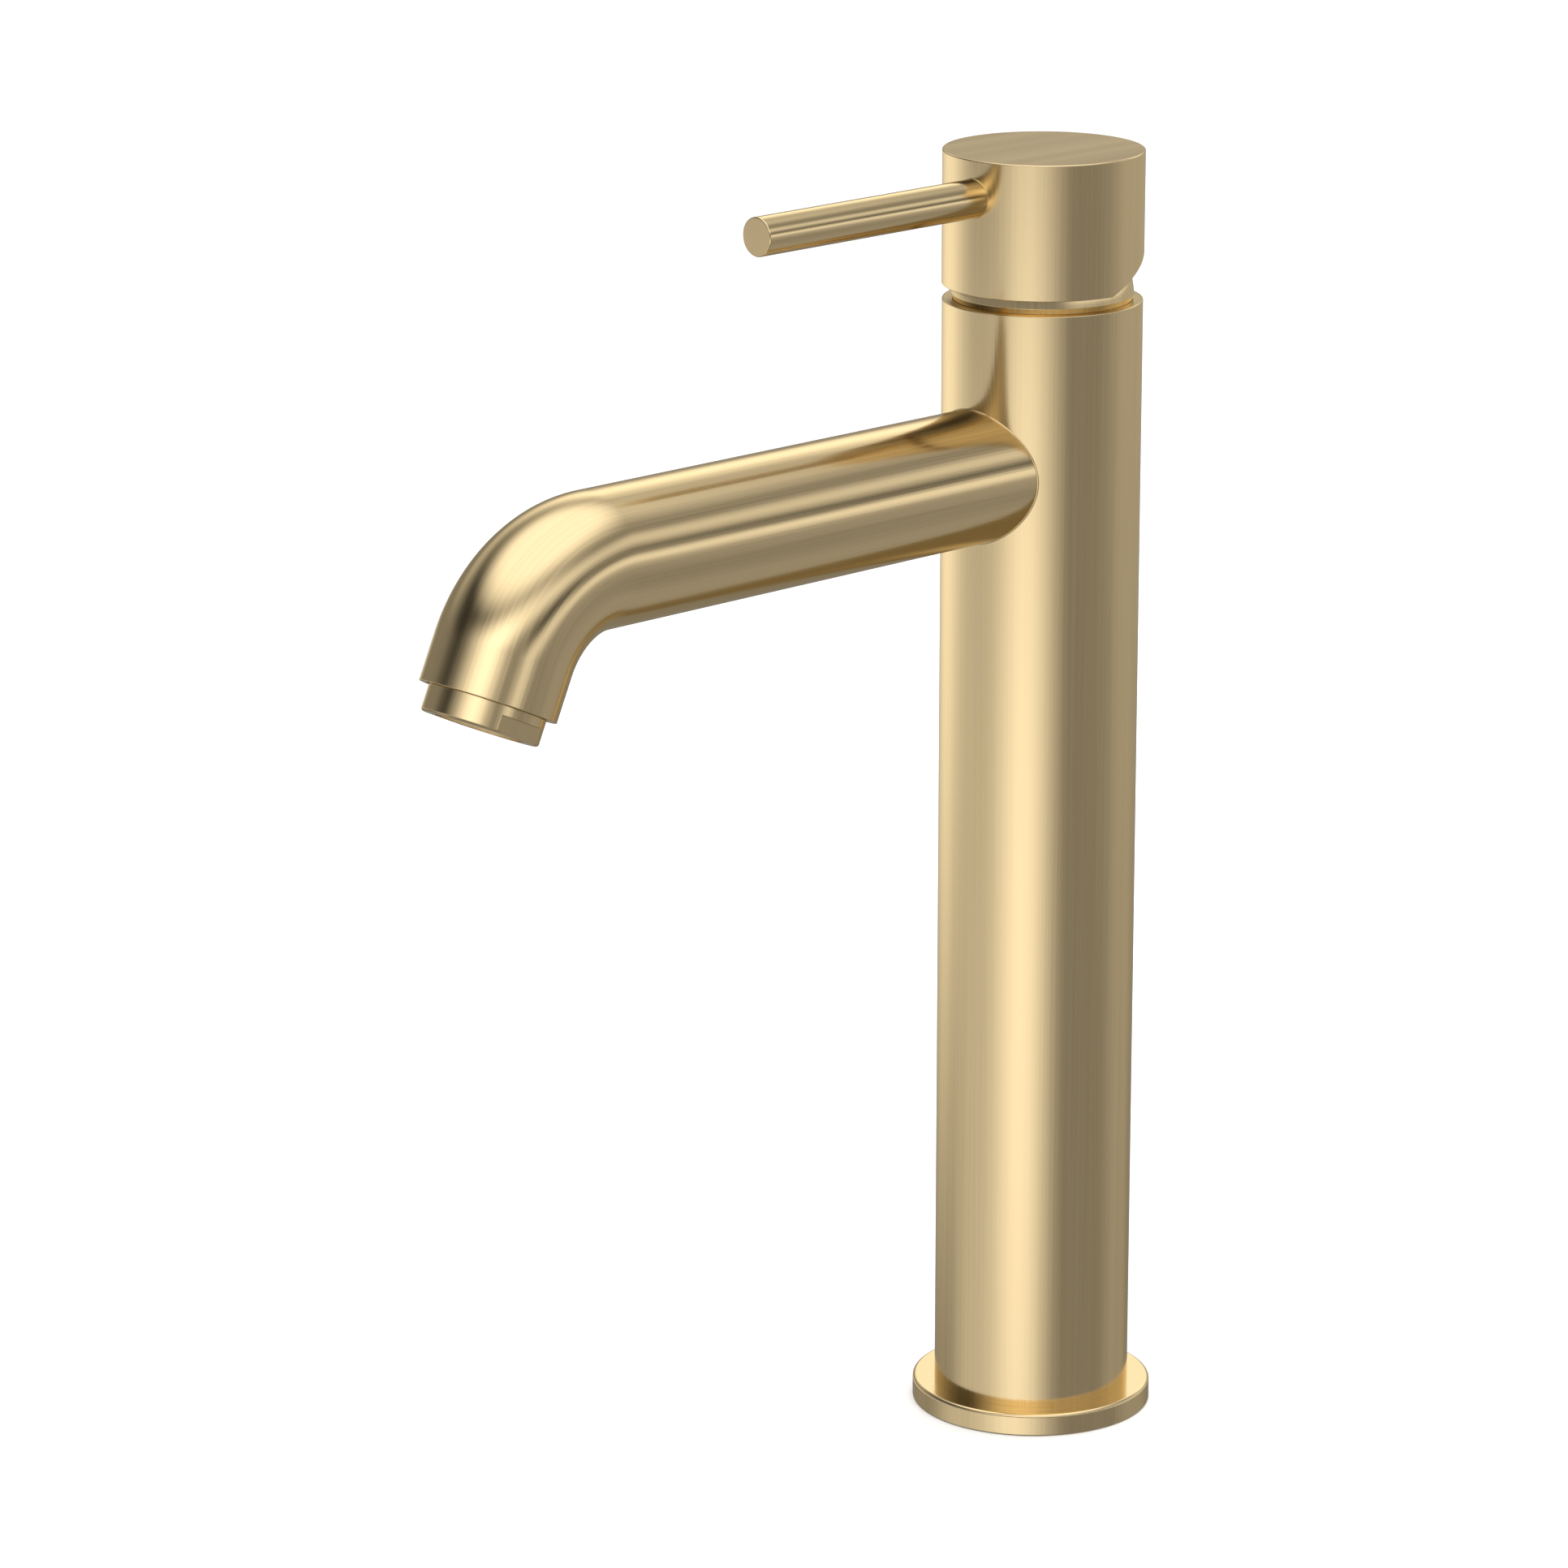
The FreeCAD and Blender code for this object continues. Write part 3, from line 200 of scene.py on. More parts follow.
def applied(piece):  # the piece with its modifiers made part of its mesh
    bpy.context.view_layer.update()
    ready = piece.evaluated_get(bpy.context.evaluated_depsgraph_get())
    mesh = bpy.data.meshes.new_from_object(ready)
    piece.modifiers.clear()
    piece.data = mesh
    mesh.name = piece.name
    return piece


def newTree(name, inputs):  # a geometry tree with named inputs, and its two end nodes
    tree = bpy.data.node_groups.new(name, "GeometryNodeTree")
    tree.interface.new_socket("Geometry", in_out="OUTPUT", socket_type="NodeSocketGeometry")
    for label, kind in inputs.items():
        tree.interface.new_socket(label, in_out="INPUT", socket_type="NodeSocket" + kind)
    return tree, addNode(tree, "NodeGroupInput").outputs, addNode(tree, "NodeGroupOutput")


def softEdges(piece, width, steps=2, angle=25):  # a real bevel on each sharp edge
    bevel = piece.modifiers.new("edges", "BEVEL")
    bevel.width = width
    bevel.segments = steps
    bevel.limit_method = "ANGLE"
    bevel.angle_limit = radians(angle)
    bevel.harden_normals = True


def finished(piece, body, material, replaced=()):
    piece.data.materials.clear()
    piece.data.materials.append(material)
    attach(piece, body)
    if replaced:
        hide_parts(*replaced)


def newMaterial(name, base, metallic, roughness):
    made = bpy.data.materials.new(name)
    made.use_nodes = True
    tree = made.node_tree
    shader = tree.nodes["Principled BSDF"]
    shader.inputs["Base Color"].default_value = linear(base)
    shader.inputs["Metallic"].default_value = metallic
    shader.inputs["Roughness"].default_value = roughness
    return made, tree, shader


# champagne brass: PVD on brass, brushed lengthways with a fine belt, then left bare.
# The eye sees long faint lines, and lights drawn out across them.
brassFinish = {
    "colour": "#E9D1A2", "shade": "#E1C99C", "edge": "#F8F0DC",
    "roughness": 0.14, "roughSpread": 0.05,
    "lineWidth": 0.5 * mm,  # the real belt leaves 0.05 mm lines, drawn coarser so that they show
    "lineLength": 110 * mm, "lineDepth": 0.010 * mm,
    "bandWidth": 2.4 * mm, "bandLength": 240 * mm, "bandDepth": 0.004 * mm,
    "bandShare": 0.3, "fade": 0.6,
    "from": 0.36, "to": 0.64,  # the pattern's values that give the darkest and the palest brass
    "anisotropy": 0.3,
}


def brushedBrass():
    f = brassFinish
    made, tree, shader = newMaterial("brushedChampagneBrass", f["colour"], 1.0, f["roughness"])
    path = addNode(tree, "ShaderNodeAttribute", attribute_name="brushPath").outputs["Vector"]
    looks = []
    for wide, long, detail in ((f["lineWidth"], f["lineLength"], 2.0),
                               (f["bandWidth"], f["bandLength"], 1.0)):
        scaled = addNode(tree, "ShaderNodeVectorMath", {0: path, 1: (1 / wide, 1 / wide, 1 / long)},
                         operation="MULTIPLY").outputs[0]
        looks.append(addNode(tree, "ShaderNodeTexNoise", {"Vector": scaled, "Scale": 1.0, "Detail": detail,
                                                         "Roughness": f["fade"]}).outputs["Fac"])
    lines, bands = looks
    low, high = f["from"], f["to"]
    both = addNode(tree, "ShaderNodeMix", {0: f["bandShare"], 2: lines, 3: bands},
                   data_type="FLOAT").outputs[0]
    tone = addNode(tree, "ShaderNodeMapRange", {"Value": both, 1: low, 2: high}).outputs[0]
    colour = addNode(tree, "ShaderNodeMix", {0: tone, 6: linear(f["shade"]), 7: linear(f["colour"])},
                     data_type="RGBA").outputs[2]
    rough = addNode(tree, "ShaderNodeMapRange", {"Value": both, 1: low, 2: high, 3: f["roughness"],
                                                 4: f["roughness"] + f["roughSpread"]}).outputs[0]
    waves = addNode(tree, "ShaderNodeBump", {"Height": bands, "Distance": f["bandDepth"], "Strength": 1.0})
    bump = addNode(tree, "ShaderNodeBump", {"Height": lines, "Distance": f["lineDepth"], "Strength": 1.0,
                                            "Normal": waves.outputs["Normal"]})
    tangent = addNode(tree, "ShaderNodeTangent", direction_type="UV_MAP", uv_map="brushMap")
    tree.links.new(colour, shader.inputs["Base Color"])
    tree.links.new(rough, shader.inputs["Roughness"])
    tree.links.new(bump.outputs["Normal"], shader.inputs["Normal"])
    tree.links.new(tangent.outputs["Tangent"], shader.inputs["Tangent"])
    shader.inputs["Anisotropic"].default_value = f["anisotropy"]
    shader.inputs["Specular Tint"].default_value = linear(f["edge"])  # stays brass-coloured at a low angle
    return made


# what each hidden or small part is made of: base colour, second colour, metallic, roughness,
# grain in mm and bump in mm, with a note on what the eye sees
stuffs = {
    "raw_brass": ("#C9A65A", "#B08C45", 1.0, 0.27, 0.30, 0.004),  # machined brass: turning marks, dull
    "steel": ("#B9B9BC", "#9C9DA1", 1.0, 0.25, 0.25, 0.002),  # ground stainless steel: fine even sparkle
    "spring_steel": ("#4A4A4E", "#37373A", 1.0, 0.42, 0.60, 0.004),  # phosphated spring steel: dark, mottled
    "copper": ("#D0855E", "#B2674A", 1.0, 0.24, 1.60, 0.003),  # drawn copper tube: clean, clouded patches
    "black_rubber": ("#1B1B1C", "#242425", 0.0, 0.62, 0.22, 0.010),  # EPDM rubber: matte, fine moulded grain
    "white_plastic": ("#E4E3DD", "#D6D5CE", 0.0, 0.38, 0.45, 0.006),  # acetal, moulded: satin, faintly uneven
    "grey_plastic": ("#6E7378", "#61666B", 0.0, 0.40, 0.45, 0.006),  # glass-filled nylon: satin with a fleck
    "ceramic": ("#F2EEE6", "#E9E4DA", 0.0, 0.12, 0.90, 0.001),  # lapped alumina: white, nearly polished
}
grainStretch = {
    "raw_brass": (0.06, 0.06, 1.0),  # turning marks lie across the column's axis
    "copper": (1.0, 1.0, 0.08),  # drawing lines run up the tube
}
grainMix = {"cloud": 9, "share": 0.5, "from": 0.35, "to": 0.65, "roughFrom": 0.3, "roughTo": 0.7,
            "swing": 0.15}


def grainyMaterial(slotName):
    base, second, metallic, roughness, grain, depth = stuffs[slotName]
    g = grainMix
    made, tree, shader = newMaterial(slotName.replace("_", "") + "Stuff", base, metallic, roughness)
    spot = addNode(tree, "ShaderNodeTexCoord").outputs["Object"]
    if slotName in grainStretch:
        spot = addNode(tree, "ShaderNodeVectorMath", {0: spot, 1: grainStretch[slotName]},
                       operation="MULTIPLY").outputs[0]
    fine = addNode(tree, "ShaderNodeTexNoise", {"Vector": spot, "Scale": 1 / (grain * mm),
                                               "Detail": 3.0}).outputs["Fac"]
    cloud = addNode(tree, "ShaderNodeTexNoise", {"Vector": spot,
                                                "Scale": 1 / (grain * g["cloud"] * mm)}).outputs["Fac"]
    both = addNode(tree, "ShaderNodeMix", {0: g["share"], 2: fine, 3: cloud}, data_type="FLOAT").outputs[0]
    tone = addNode(tree, "ShaderNodeMapRange", {"Value": both, 1: g["from"], 2: g["to"]}).outputs[0]
    colour = addNode(tree, "ShaderNodeMix", {0: tone, 6: linear(second), 7: linear(base)},
                     data_type="RGBA").outputs[2]
    rough = addNode(tree, "ShaderNodeMapRange", {
        "Value": fine, 1: g["roughFrom"], 2: g["roughTo"], 3: roughness * (1 - g["swing"]),
        4: roughness * (1 + g["swing"])}).outputs[0]
    bump = addNode(tree, "ShaderNodeBump", {"Height": fine, "Distance": depth * mm, "Strength": 1.0})
    tree.links.new(colour, shader.inputs["Base Color"])
    tree.links.new(rough, shader.inputs["Roughness"])
    tree.links.new(bump.outputs["Normal"], shader.inputs["Normal"])
    return made


brass = brushedBrass()
materials = {slotName: grainyMaterial(slotName) for slotName in stuffs}
materials["brushed_brass"] = brass
print("materials made:", len(materials))

slotOf = {s["node"]: s["material_slot"] for s in frame["record"]["subparts"]}
for nodeName, node in frame["nodes"].items():
    for nodeSlot in node.material_slots:
        nodeSlot.material = materials[slotOf[nodeName]]


flange = {"edge": 0.8 * mm, "fine": 0.15 * mm, "boreStep": 0.6 * mm, "gasketWidth": 2.4 * mm}

low, high, span = size("base_flange")
_, gasketHigh, gasketSpan = size("deck_gasket")
columnLow, columnHigh, columnSpan = size("column_tube")
columnRadius = columnSpan.x / 2
flangeRadius, flangeTop = span.x / 2, high.z
boreRadius = columnRadius - flange["boreStep"]  # passes the column's turned-down foot
gasketOut = gasketSpan.x / 2
gasketIn = gasketOut - flange["gasketWidth"]
flangeRing = turnedPiece("flangeRing", roundedProfile([
    (boreRadius, low.z, flange["fine"]),
    (gasketIn, low.z, flange["fine"]),
    (gasketIn, gasketHigh.z, flange["fine"]),
    (gasketOut, gasketHigh.z, flange["fine"]),
    (gasketOut, low.z, flange["fine"]),
    (flangeRadius, low.z, flange["fine"]),
    (flangeRadius, flangeTop, flange["edge"]),
    (boreRadius, flangeTop, flange["fine"]),
], steps=6), around=192)
finished(flangeRing, "body", brass, ["base_flange"])

column = {"wall": 1.9 * mm, "lip": 0.47 * mm, "lipHeight": 2.0 * mm, "spigotStep": 0.7 * mm,
          "rimEdge": 0.22 * mm, "fine": 0.1 * mm,
          "footEdge": 0.02 * mm}  # almost sharp, so the column sits tight on the flange

columnBore = columnRadius - column["wall"]
rimBore = columnBore - column["lip"]  # closes up to the neck
spigot = columnRadius - column["spigotStep"]
columnShell = turnedPiece("columnShell", roundedProfile([
    (columnBore, columnLow.z, column["fine"]),
    (spigot, columnLow.z, column["fine"]),
    (spigot, flangeTop, column["fine"]),
    (columnRadius, flangeTop, column["footEdge"]),
    (columnRadius, columnHigh.z, column["rimEdge"]),
    (rimBore, columnHigh.z, column["fine"]),
    (rimBore, columnHigh.z - column["lipHeight"], column["fine"]),
    (columnBore, columnHigh.z - column["lipHeight"], column["fine"]),
]), around=192)
finished(columnShell, "body", brass, ["column_tube"])

neck = {"sphere": 20.5 * mm, "wall": 1.2 * mm, "mouthWidth": 1.9 * mm, "mouthEdge": 0.15 * mm,
        "footWall": 0.4 * mm, "footEdge": 0.05 * mm, "guide": 0.01 * mm, "arcSteps": 14,
        "tuckFrom": 1.25 * mm, "tuckSlope": 17, "tuckRound": 0.25 * mm}


def neckProfile():
    # the tucked-in foot, the dome's outside upwards, over the mouth, then the inside back down;
    # each end corner of the two rounded pieces is only a guide, and is cut off
    n = neck
    lowest, highest, _ = size("bonnet")
    centre = columnHigh.z
    outer, inner = n["sphere"], n["sphere"] - n["wall"]
    start, end = asin(n["tuckFrom"] / outer), asin((highest.z - centre) / outer)
    brow, browHeight = outer * cos(start), centre + n["tuckFrom"]
    footRadius = brow - (browHeight - lowest.z) * tan(radians(n["tuckSlope"]))
    foot = roundedProfile([
        (footRadius - n["footWall"], lowest.z, n["guide"]),
        (footRadius, lowest.z, n["footEdge"]),
        (brow, browHeight, n["tuckRound"]),
        (outer * cos(2 * start), centre + outer * sin(2 * start), n["guide"]),
    ])
    points = foot[5:15]
    for k in range(1, n["arcSteps"] + 1):
        a = start + (end - start) * k / n["arcSteps"]
        points.append((outer * cos(a), centre + outer * sin(a), cos(a), sin(a)))
    top = outer * cos(end)
    lip = roundedProfile([
        (top + 2 * n["mouthEdge"], highest.z - 2 * n["mouthEdge"], n["guide"]),
        (top, highest.z, n["mouthEdge"]),
        (top - n["mouthWidth"], highest.z, n["mouthEdge"]),
        (top - n["mouthWidth"], highest.z - n["wall"], n["guide"]),
    ])
    points[-1:] = lip[5:15]
    low = asin((lowest.z - centre) / inner)
    for k in range(n["arcSteps"], -1, -1):
        a = low + (end - low) * k / n["arcSteps"]
        z = centre + inner * sin(a)
        if z < highest.z - n["wall"]:
            points.append((min(inner * cos(a), footRadius - n["footWall"]), z, -cos(a), -sin(a)))
    return points


neckDome = turnedPiece("neckDome", neckProfile(), around=160)
finished(neckDome, "body", brass, ["bonnet"])
print("flange, column and neck made")


cap = {"wall": 1.3 * mm, "ceiling": 3.0 * mm, "topEdge": 0.28 * mm, "footEdge": 0.18 * mm,
       "innerEdge": 0.6 * mm,
       "slope": 24, "slopeStart": -1.0 * mm, "skirtFoot": 1.0 * mm, "around": 192,
       "bossWidth": 13.0 * mm, "bossLength": 18.8 * mm, "bossRoot": 1.0 * mm, "bossEdge": 0.5 * mm}

capLow, capHigh, capSpan = size("handle_cap")
capRadius = capSpan.x / 2
pinLow, pinHigh, pinSpan = size("lever_pin")
pinRadius, pinAxis = pinSpan.z / 2, (pinLow.z + pinHigh.z) / 2


def capFoot(spot):  # lifts the skirt's foot along the slope behind the column's axis
    if spot.z < capLow.z + cap["skirtFoot"]:
        spot.z += max(0.0, spot.y - cap["slopeStart"]) * tan(radians(cap["slope"]))
    return spot


kink = asin(cap["slopeStart"] / capRadius) % (2 * pi)
capAngles = sorted([2 * pi * k / cap["around"] for k in range(cap["around"])]
                   + [kink, (pi - kink) % (2 * pi)])
ceilingZ = capHigh.z - cap["ceiling"]
capShell = turnedPiece("capShell", roundedProfile([
    (0, ceilingZ, 0),
    (capRadius - cap["wall"], ceilingZ, cap["innerEdge"]),
    (capRadius - cap["wall"], capLow.z, cap["footEdge"]),
    (capRadius, capLow.z, cap["footEdge"]),
    (capRadius, capHigh.z, cap["topEdge"]),
    (0, capHigh.z, 0),
]), angles=capAngles, shift=capFoot, grain="straight")
finished(capShell, "lever", brass, ["handle_cap"])


def boxPiece(name, lowest, highest, edge):
    bm = bmesh.new()
    bmesh.ops.create_cube(bm, size=1.0)
    for v in bm.verts:
        v.co = Vector([lowest[i] if v.co[i] < 0 else highest[i] for i in range(3)])
    path = bm.loops.layers.float_vector.new("brushPath")
    for face in bm.faces:
        for loop in face.loops:
            loop[path] = loop.vert.co
    mesh = bpy.data.meshes.new(name)
    bm.to_mesh(mesh)
    bm.free()
    mesh.uv_layers.new(name="brushMap")
    piece = newObject(name, mesh)
    softEdges(piece, edge)
    return applied(piece)


half = cap["bossWidth"] / 2
capBoss = boxPiece("capBoss", (-half, -half, ceilingZ - cap["bossLength"]),
                   (half, half, ceilingZ + cap["bossRoot"]), cap["bossEdge"])
finished(capBoss, "lever", materials["raw_brass"])

lever = {"tipEdge": 0.3 * mm, "root": 0.9 * mm, "rootEdge": 0.05 * mm,
         "seatBead": 0.13 * mm, "beadOut": 0.05 * mm, "beadIn": 0.03 * mm}

pinTip = -pinLow.y
pinPlace = Matrix.Translation((0, 0, pinAxis)) @ Matrix.Rotation(radians(90), 4, "X")
leverRod = turnedPiece("leverRod", roundedProfile([
    (0, capRadius - lever["root"], 0),
    (pinRadius, capRadius - lever["root"], lever["rootEdge"]),
    (pinRadius, pinTip, lever["tipEdge"]),
    (0, pinTip, 0),
]), place=pinPlace, around=96, grain="straight")
finished(leverRod, "lever", brass, ["lever_pin"])


def saddleBead(name, pipeRadius, postRadius, axisHeight, thick, around=128, sides=8):
    # a thin bead where a level pipe along -Y meets an upright post
    verts, faces = [], []
    for j in range(around):
        a = 2 * pi * j / around
        x, z = pipeRadius * cos(a), axisHeight + pipeRadius * sin(a)
        y = -sqrt(postRadius ** 2 - x ** 2)
        outward, away = Vector((x, y, 0)).normalized(), Vector((cos(a), 0, sin(a)))
        across = (away - outward * away.dot(outward)).normalized()
        for k in range(sides):
            b = 2 * pi * k / sides
            verts.append(Vector((x, y, z)) + (outward * sin(b) + across * cos(b)) * thick)
    for j in range(around):
        for k in range(sides):
            j2, k2 = (j + 1) % around, (k + 1) % sides
            faces.append([j * sides + k, j2 * sides + k, j2 * sides + k2, j * sides + k2])
    mesh = bpy.data.meshes.new(name)
    mesh.from_pydata(verts, [], faces)
    bm = bmesh.new()
    bm.from_mesh(mesh)
    bmesh.ops.recalc_face_normals(bm, faces=bm.faces)
    bm.to_mesh(mesh)
    bm.free()
    path = mesh.attributes.new("brushPath", "FLOAT_VECTOR", "POINT")
    for i, v in enumerate(mesh.vertices):
        path.data[i].vector = v.co
    mesh.uv_layers.new(name="brushMap")
    mesh.polygons.foreach_set("use_smooth", [True] * len(mesh.polygons))
    return newObject(name, mesh)


leverBead = saddleBead("leverSeatEdge", pinRadius + lever["beadOut"], capRadius - lever["beadIn"], pinAxis,
                       lever["seatBead"])
finished(leverBead, "lever", brass)
print("cap and lever made")


spout = {"bendRadius": 27.8 * mm, "bendAngle": 65, "tail": 10.4 * mm, "wall": 1.5 * mm, "edge": 0.14 * mm,
         "around": 144, "bendSteps": 40, "sink": 0.02 * mm, "jointBead": 0.22 * mm, "beadAround": 192}

spoutLow, spoutHigh, spoutSpan = size("spout_tube")
spoutRadius = spoutSpan.x / 2
spoutAxis = spoutHigh.z - spoutRadius
bend = radians(spout["bendAngle"])
spoutEndY = spoutLow.y + spoutRadius * sin(bend)  # the middle of the outlet
straightEnd = -spoutEndY - spout["bendRadius"] * sin(bend) - spout["tail"] * cos(bend)
spoutEndZ = spoutAxis - spout["bendRadius"] * (1 - cos(bend)) - spout["tail"] * sin(bend)
cornerY = -(straightEnd + spout["bendRadius"] * tan(bend / 2))


def spoutTree():
    tree, given, out = newTree("spoutSweep", {
        "Start": "Vector", "Corner": "Vector", "End": "Vector", "Bend Radius": "Float", "Bend Steps": "Int",
        "Pipe Radius": "Float", "Around": "Int", "Post Radius": "Float", "Material": "Material"})
    line = addNode(tree, "GeometryNodeMeshLine", {"Count": 3})
    path = addNode(tree, "GeometryNodeMeshToCurve", {"Mesh": line.outputs[0]})
    index = addNode(tree, "GeometryNodeInputIndex")
    pick = addNode(tree, "GeometryNodeIndexSwitch", data_type="VECTOR")
    pick.index_switch_items.new()
    spots = (index.outputs[0], given["Start"], given["Corner"], given["End"])
    for socket, value in zip(pick.inputs, spots):
        tree.links.new(value, socket)
    corners = addNode(tree, "GeometryNodeSetPosition",
                      {"Geometry": path.outputs[0], "Position": pick.outputs[0]})
    bent = addNode(tree, "GeometryNodeFilletCurve", {"Curve": corners.outputs[0],
                                                    "Radius": given["Bend Radius"],
                                                    "Count": given["Bend Steps"]}, mode="POLY")
    along = addNode(tree, "GeometryNodeSplineParameter")
    marked = addNode(tree, "GeometryNodeCaptureAttribute", {"Geometry": bent.outputs[0]})
    marked.capture_items.new("FLOAT", "Along")
    tree.links.new(along.outputs["Length"], marked.inputs["Along"])
    circle = addNode(tree, "GeometryNodeCurvePrimitiveCircle", {"Resolution": given["Around"],
                                                               "Radius": given["Pipe Radius"]})
    spot = addNode(tree, "GeometryNodeInputPosition")
    ring = addNode(tree, "GeometryNodeCaptureAttribute", {"Geometry": circle.outputs[0]})
    ring.capture_items.new("VECTOR", "Spot")
    ring.capture_items.new("FLOAT", "Round")
    tree.links.new(spot.outputs[0], ring.inputs["Spot"])
    tree.links.new(along.outputs["Factor"], ring.inputs["Round"])
    tube = addNode(tree, "GeometryNodeCurveToMesh",
                   {"Curve": marked.outputs[0], "Profile Curve": ring.outputs[0]})
    # the first ring is cut to the post, like a fish mouth
    where = addNode(tree, "ShaderNodeSeparateXYZ", {0: spot.outputs[0]})
    postSquare = addNode(tree, "ShaderNodeMath", {0: given["Post Radius"], 1: 2.0}, operation="POWER")
    xSquare = addNode(tree, "ShaderNodeMath", {0: where.outputs["X"], 1: 2.0}, operation="POWER")
    rest = addNode(tree, "ShaderNodeMath", {0: postSquare.outputs[0], 1: xSquare.outputs[0]},
                   operation="SUBTRACT")
    depth = addNode(tree, "ShaderNodeMath", {0: rest.outputs[0]}, operation="SQRT")
    back = addNode(tree, "ShaderNodeMath", {0: depth.outputs[0], 1: -1.0}, operation="MULTIPLY")
    moved = addNode(tree, "ShaderNodeCombineXYZ", {0: where.outputs["X"], 1: back.outputs[0],
                                                  2: where.outputs["Z"]})
    first = addNode(tree, "FunctionNodeCompare", {0: marked.outputs["Along"], 1: 1e-5}, operation="LESS_THAN")
    saddle = addNode(tree, "GeometryNodeSetPosition", {"Geometry": tube.outputs[0],
                                                      "Selection": first.outputs[0],
                                                      "Position": moved.outputs[0]})
    flatSpot = addNode(tree, "ShaderNodeSeparateXYZ", {0: ring.outputs["Spot"]})
    brush = addNode(tree, "ShaderNodeCombineXYZ", {0: flatSpot.outputs["X"], 1: flatSpot.outputs["Y"],
                                                  2: marked.outputs["Along"]})
    stored = addNode(tree, "GeometryNodeStoreNamedAttribute", {"Geometry": saddle.outputs[0],
                                                             "Name": "brushPath",
                                                             "Value": brush.outputs[0]},
                     data_type="FLOAT_VECTOR", domain="POINT")
    roundMetres = addNode(tree, "ShaderNodeMath", {0: ring.outputs["Round"], 1: 2 * pi * spoutRadius},
                          operation="MULTIPLY")
    uv = addNode(tree, "ShaderNodeCombineXYZ", {0: roundMetres.outputs[0], 1: marked.outputs["Along"]})
    mapped = addNode(tree, "GeometryNodeStoreNamedAttribute", {"Geometry": stored.outputs[0],
                                                             "Name": "brushMap",
                                                             "Value": uv.outputs[0]},
                     data_type="FLOAT2", domain="CORNER")
    smooth = addNode(tree, "GeometryNodeSetShadeSmooth", {"Geometry": mapped.outputs[0]})
    real = addNode(tree, "GeometryNodeRealizeInstances", {"Geometry": smooth.outputs[0]})
    coloured = addNode(tree, "GeometryNodeSetMaterial",
                       {"Geometry": real.outputs[0], "Material": given["Material"]})
    tree.links.new(coloured.outputs[0], out.inputs[0])
    return tree


spoutPipe = meshFromNodes("spoutPipe", spoutTree(), {
    "Start": (0, 0, spoutAxis), "Corner": (0, cornerY, spoutAxis), "End": (0, spoutEndY, spoutEndZ),
    "Bend Radius": spout["bendRadius"], "Bend Steps": spout["bendSteps"], "Pipe Radius": spoutRadius,
    "Around": spout["around"], "Post Radius": columnRadius - spout["sink"], "Material": brass})
topFace = max(spoutPipe.data.polygons, key=lambda f: f.center.z)
if topFace.normal.z < 0:  # the wall has to grow inwards
    spoutPipe.data.flip_normals()
wall = spoutPipe.modifiers.new("wall", "SOLIDIFY")
wall.thickness = spout["wall"]
wall.offset = -1
softEdges(spoutPipe, spout["edge"], steps=3, angle=50)
applied(spoutPipe)
finished(spoutPipe, "body", brass, ["spout_tube"])
spoutBead = saddleBead("spoutJointEdge", spoutRadius + spout["sink"], columnRadius, spoutAxis,
                       spout["jointBead"], spout["beadAround"])
finished(spoutBead, "body", brass)
print("spout made:", len(spoutPipe.data.polygons), "faces")


aerator = {"drop": 5.85 * mm, "flatsStart": 2.1 * mm, "acrossFlats": 23.0 * mm, "chamfer": 0.4 * mm,
           "thread": 12.0 * mm, "bore": 10.6 * mm, "lip": 0.8 * mm, "shank": 7.0 * mm, "edge": 0.1 * mm,
           "around": 128}
weld = 1e-6  # points closer than this are one
hair = 1e-7  # a step too small to see, which starts the flats cleanly
outlet = Matrix.Translation((0, spoutEndY, spoutEndZ)) @ Matrix.Rotation(bend - pi / 2, 4, "X")


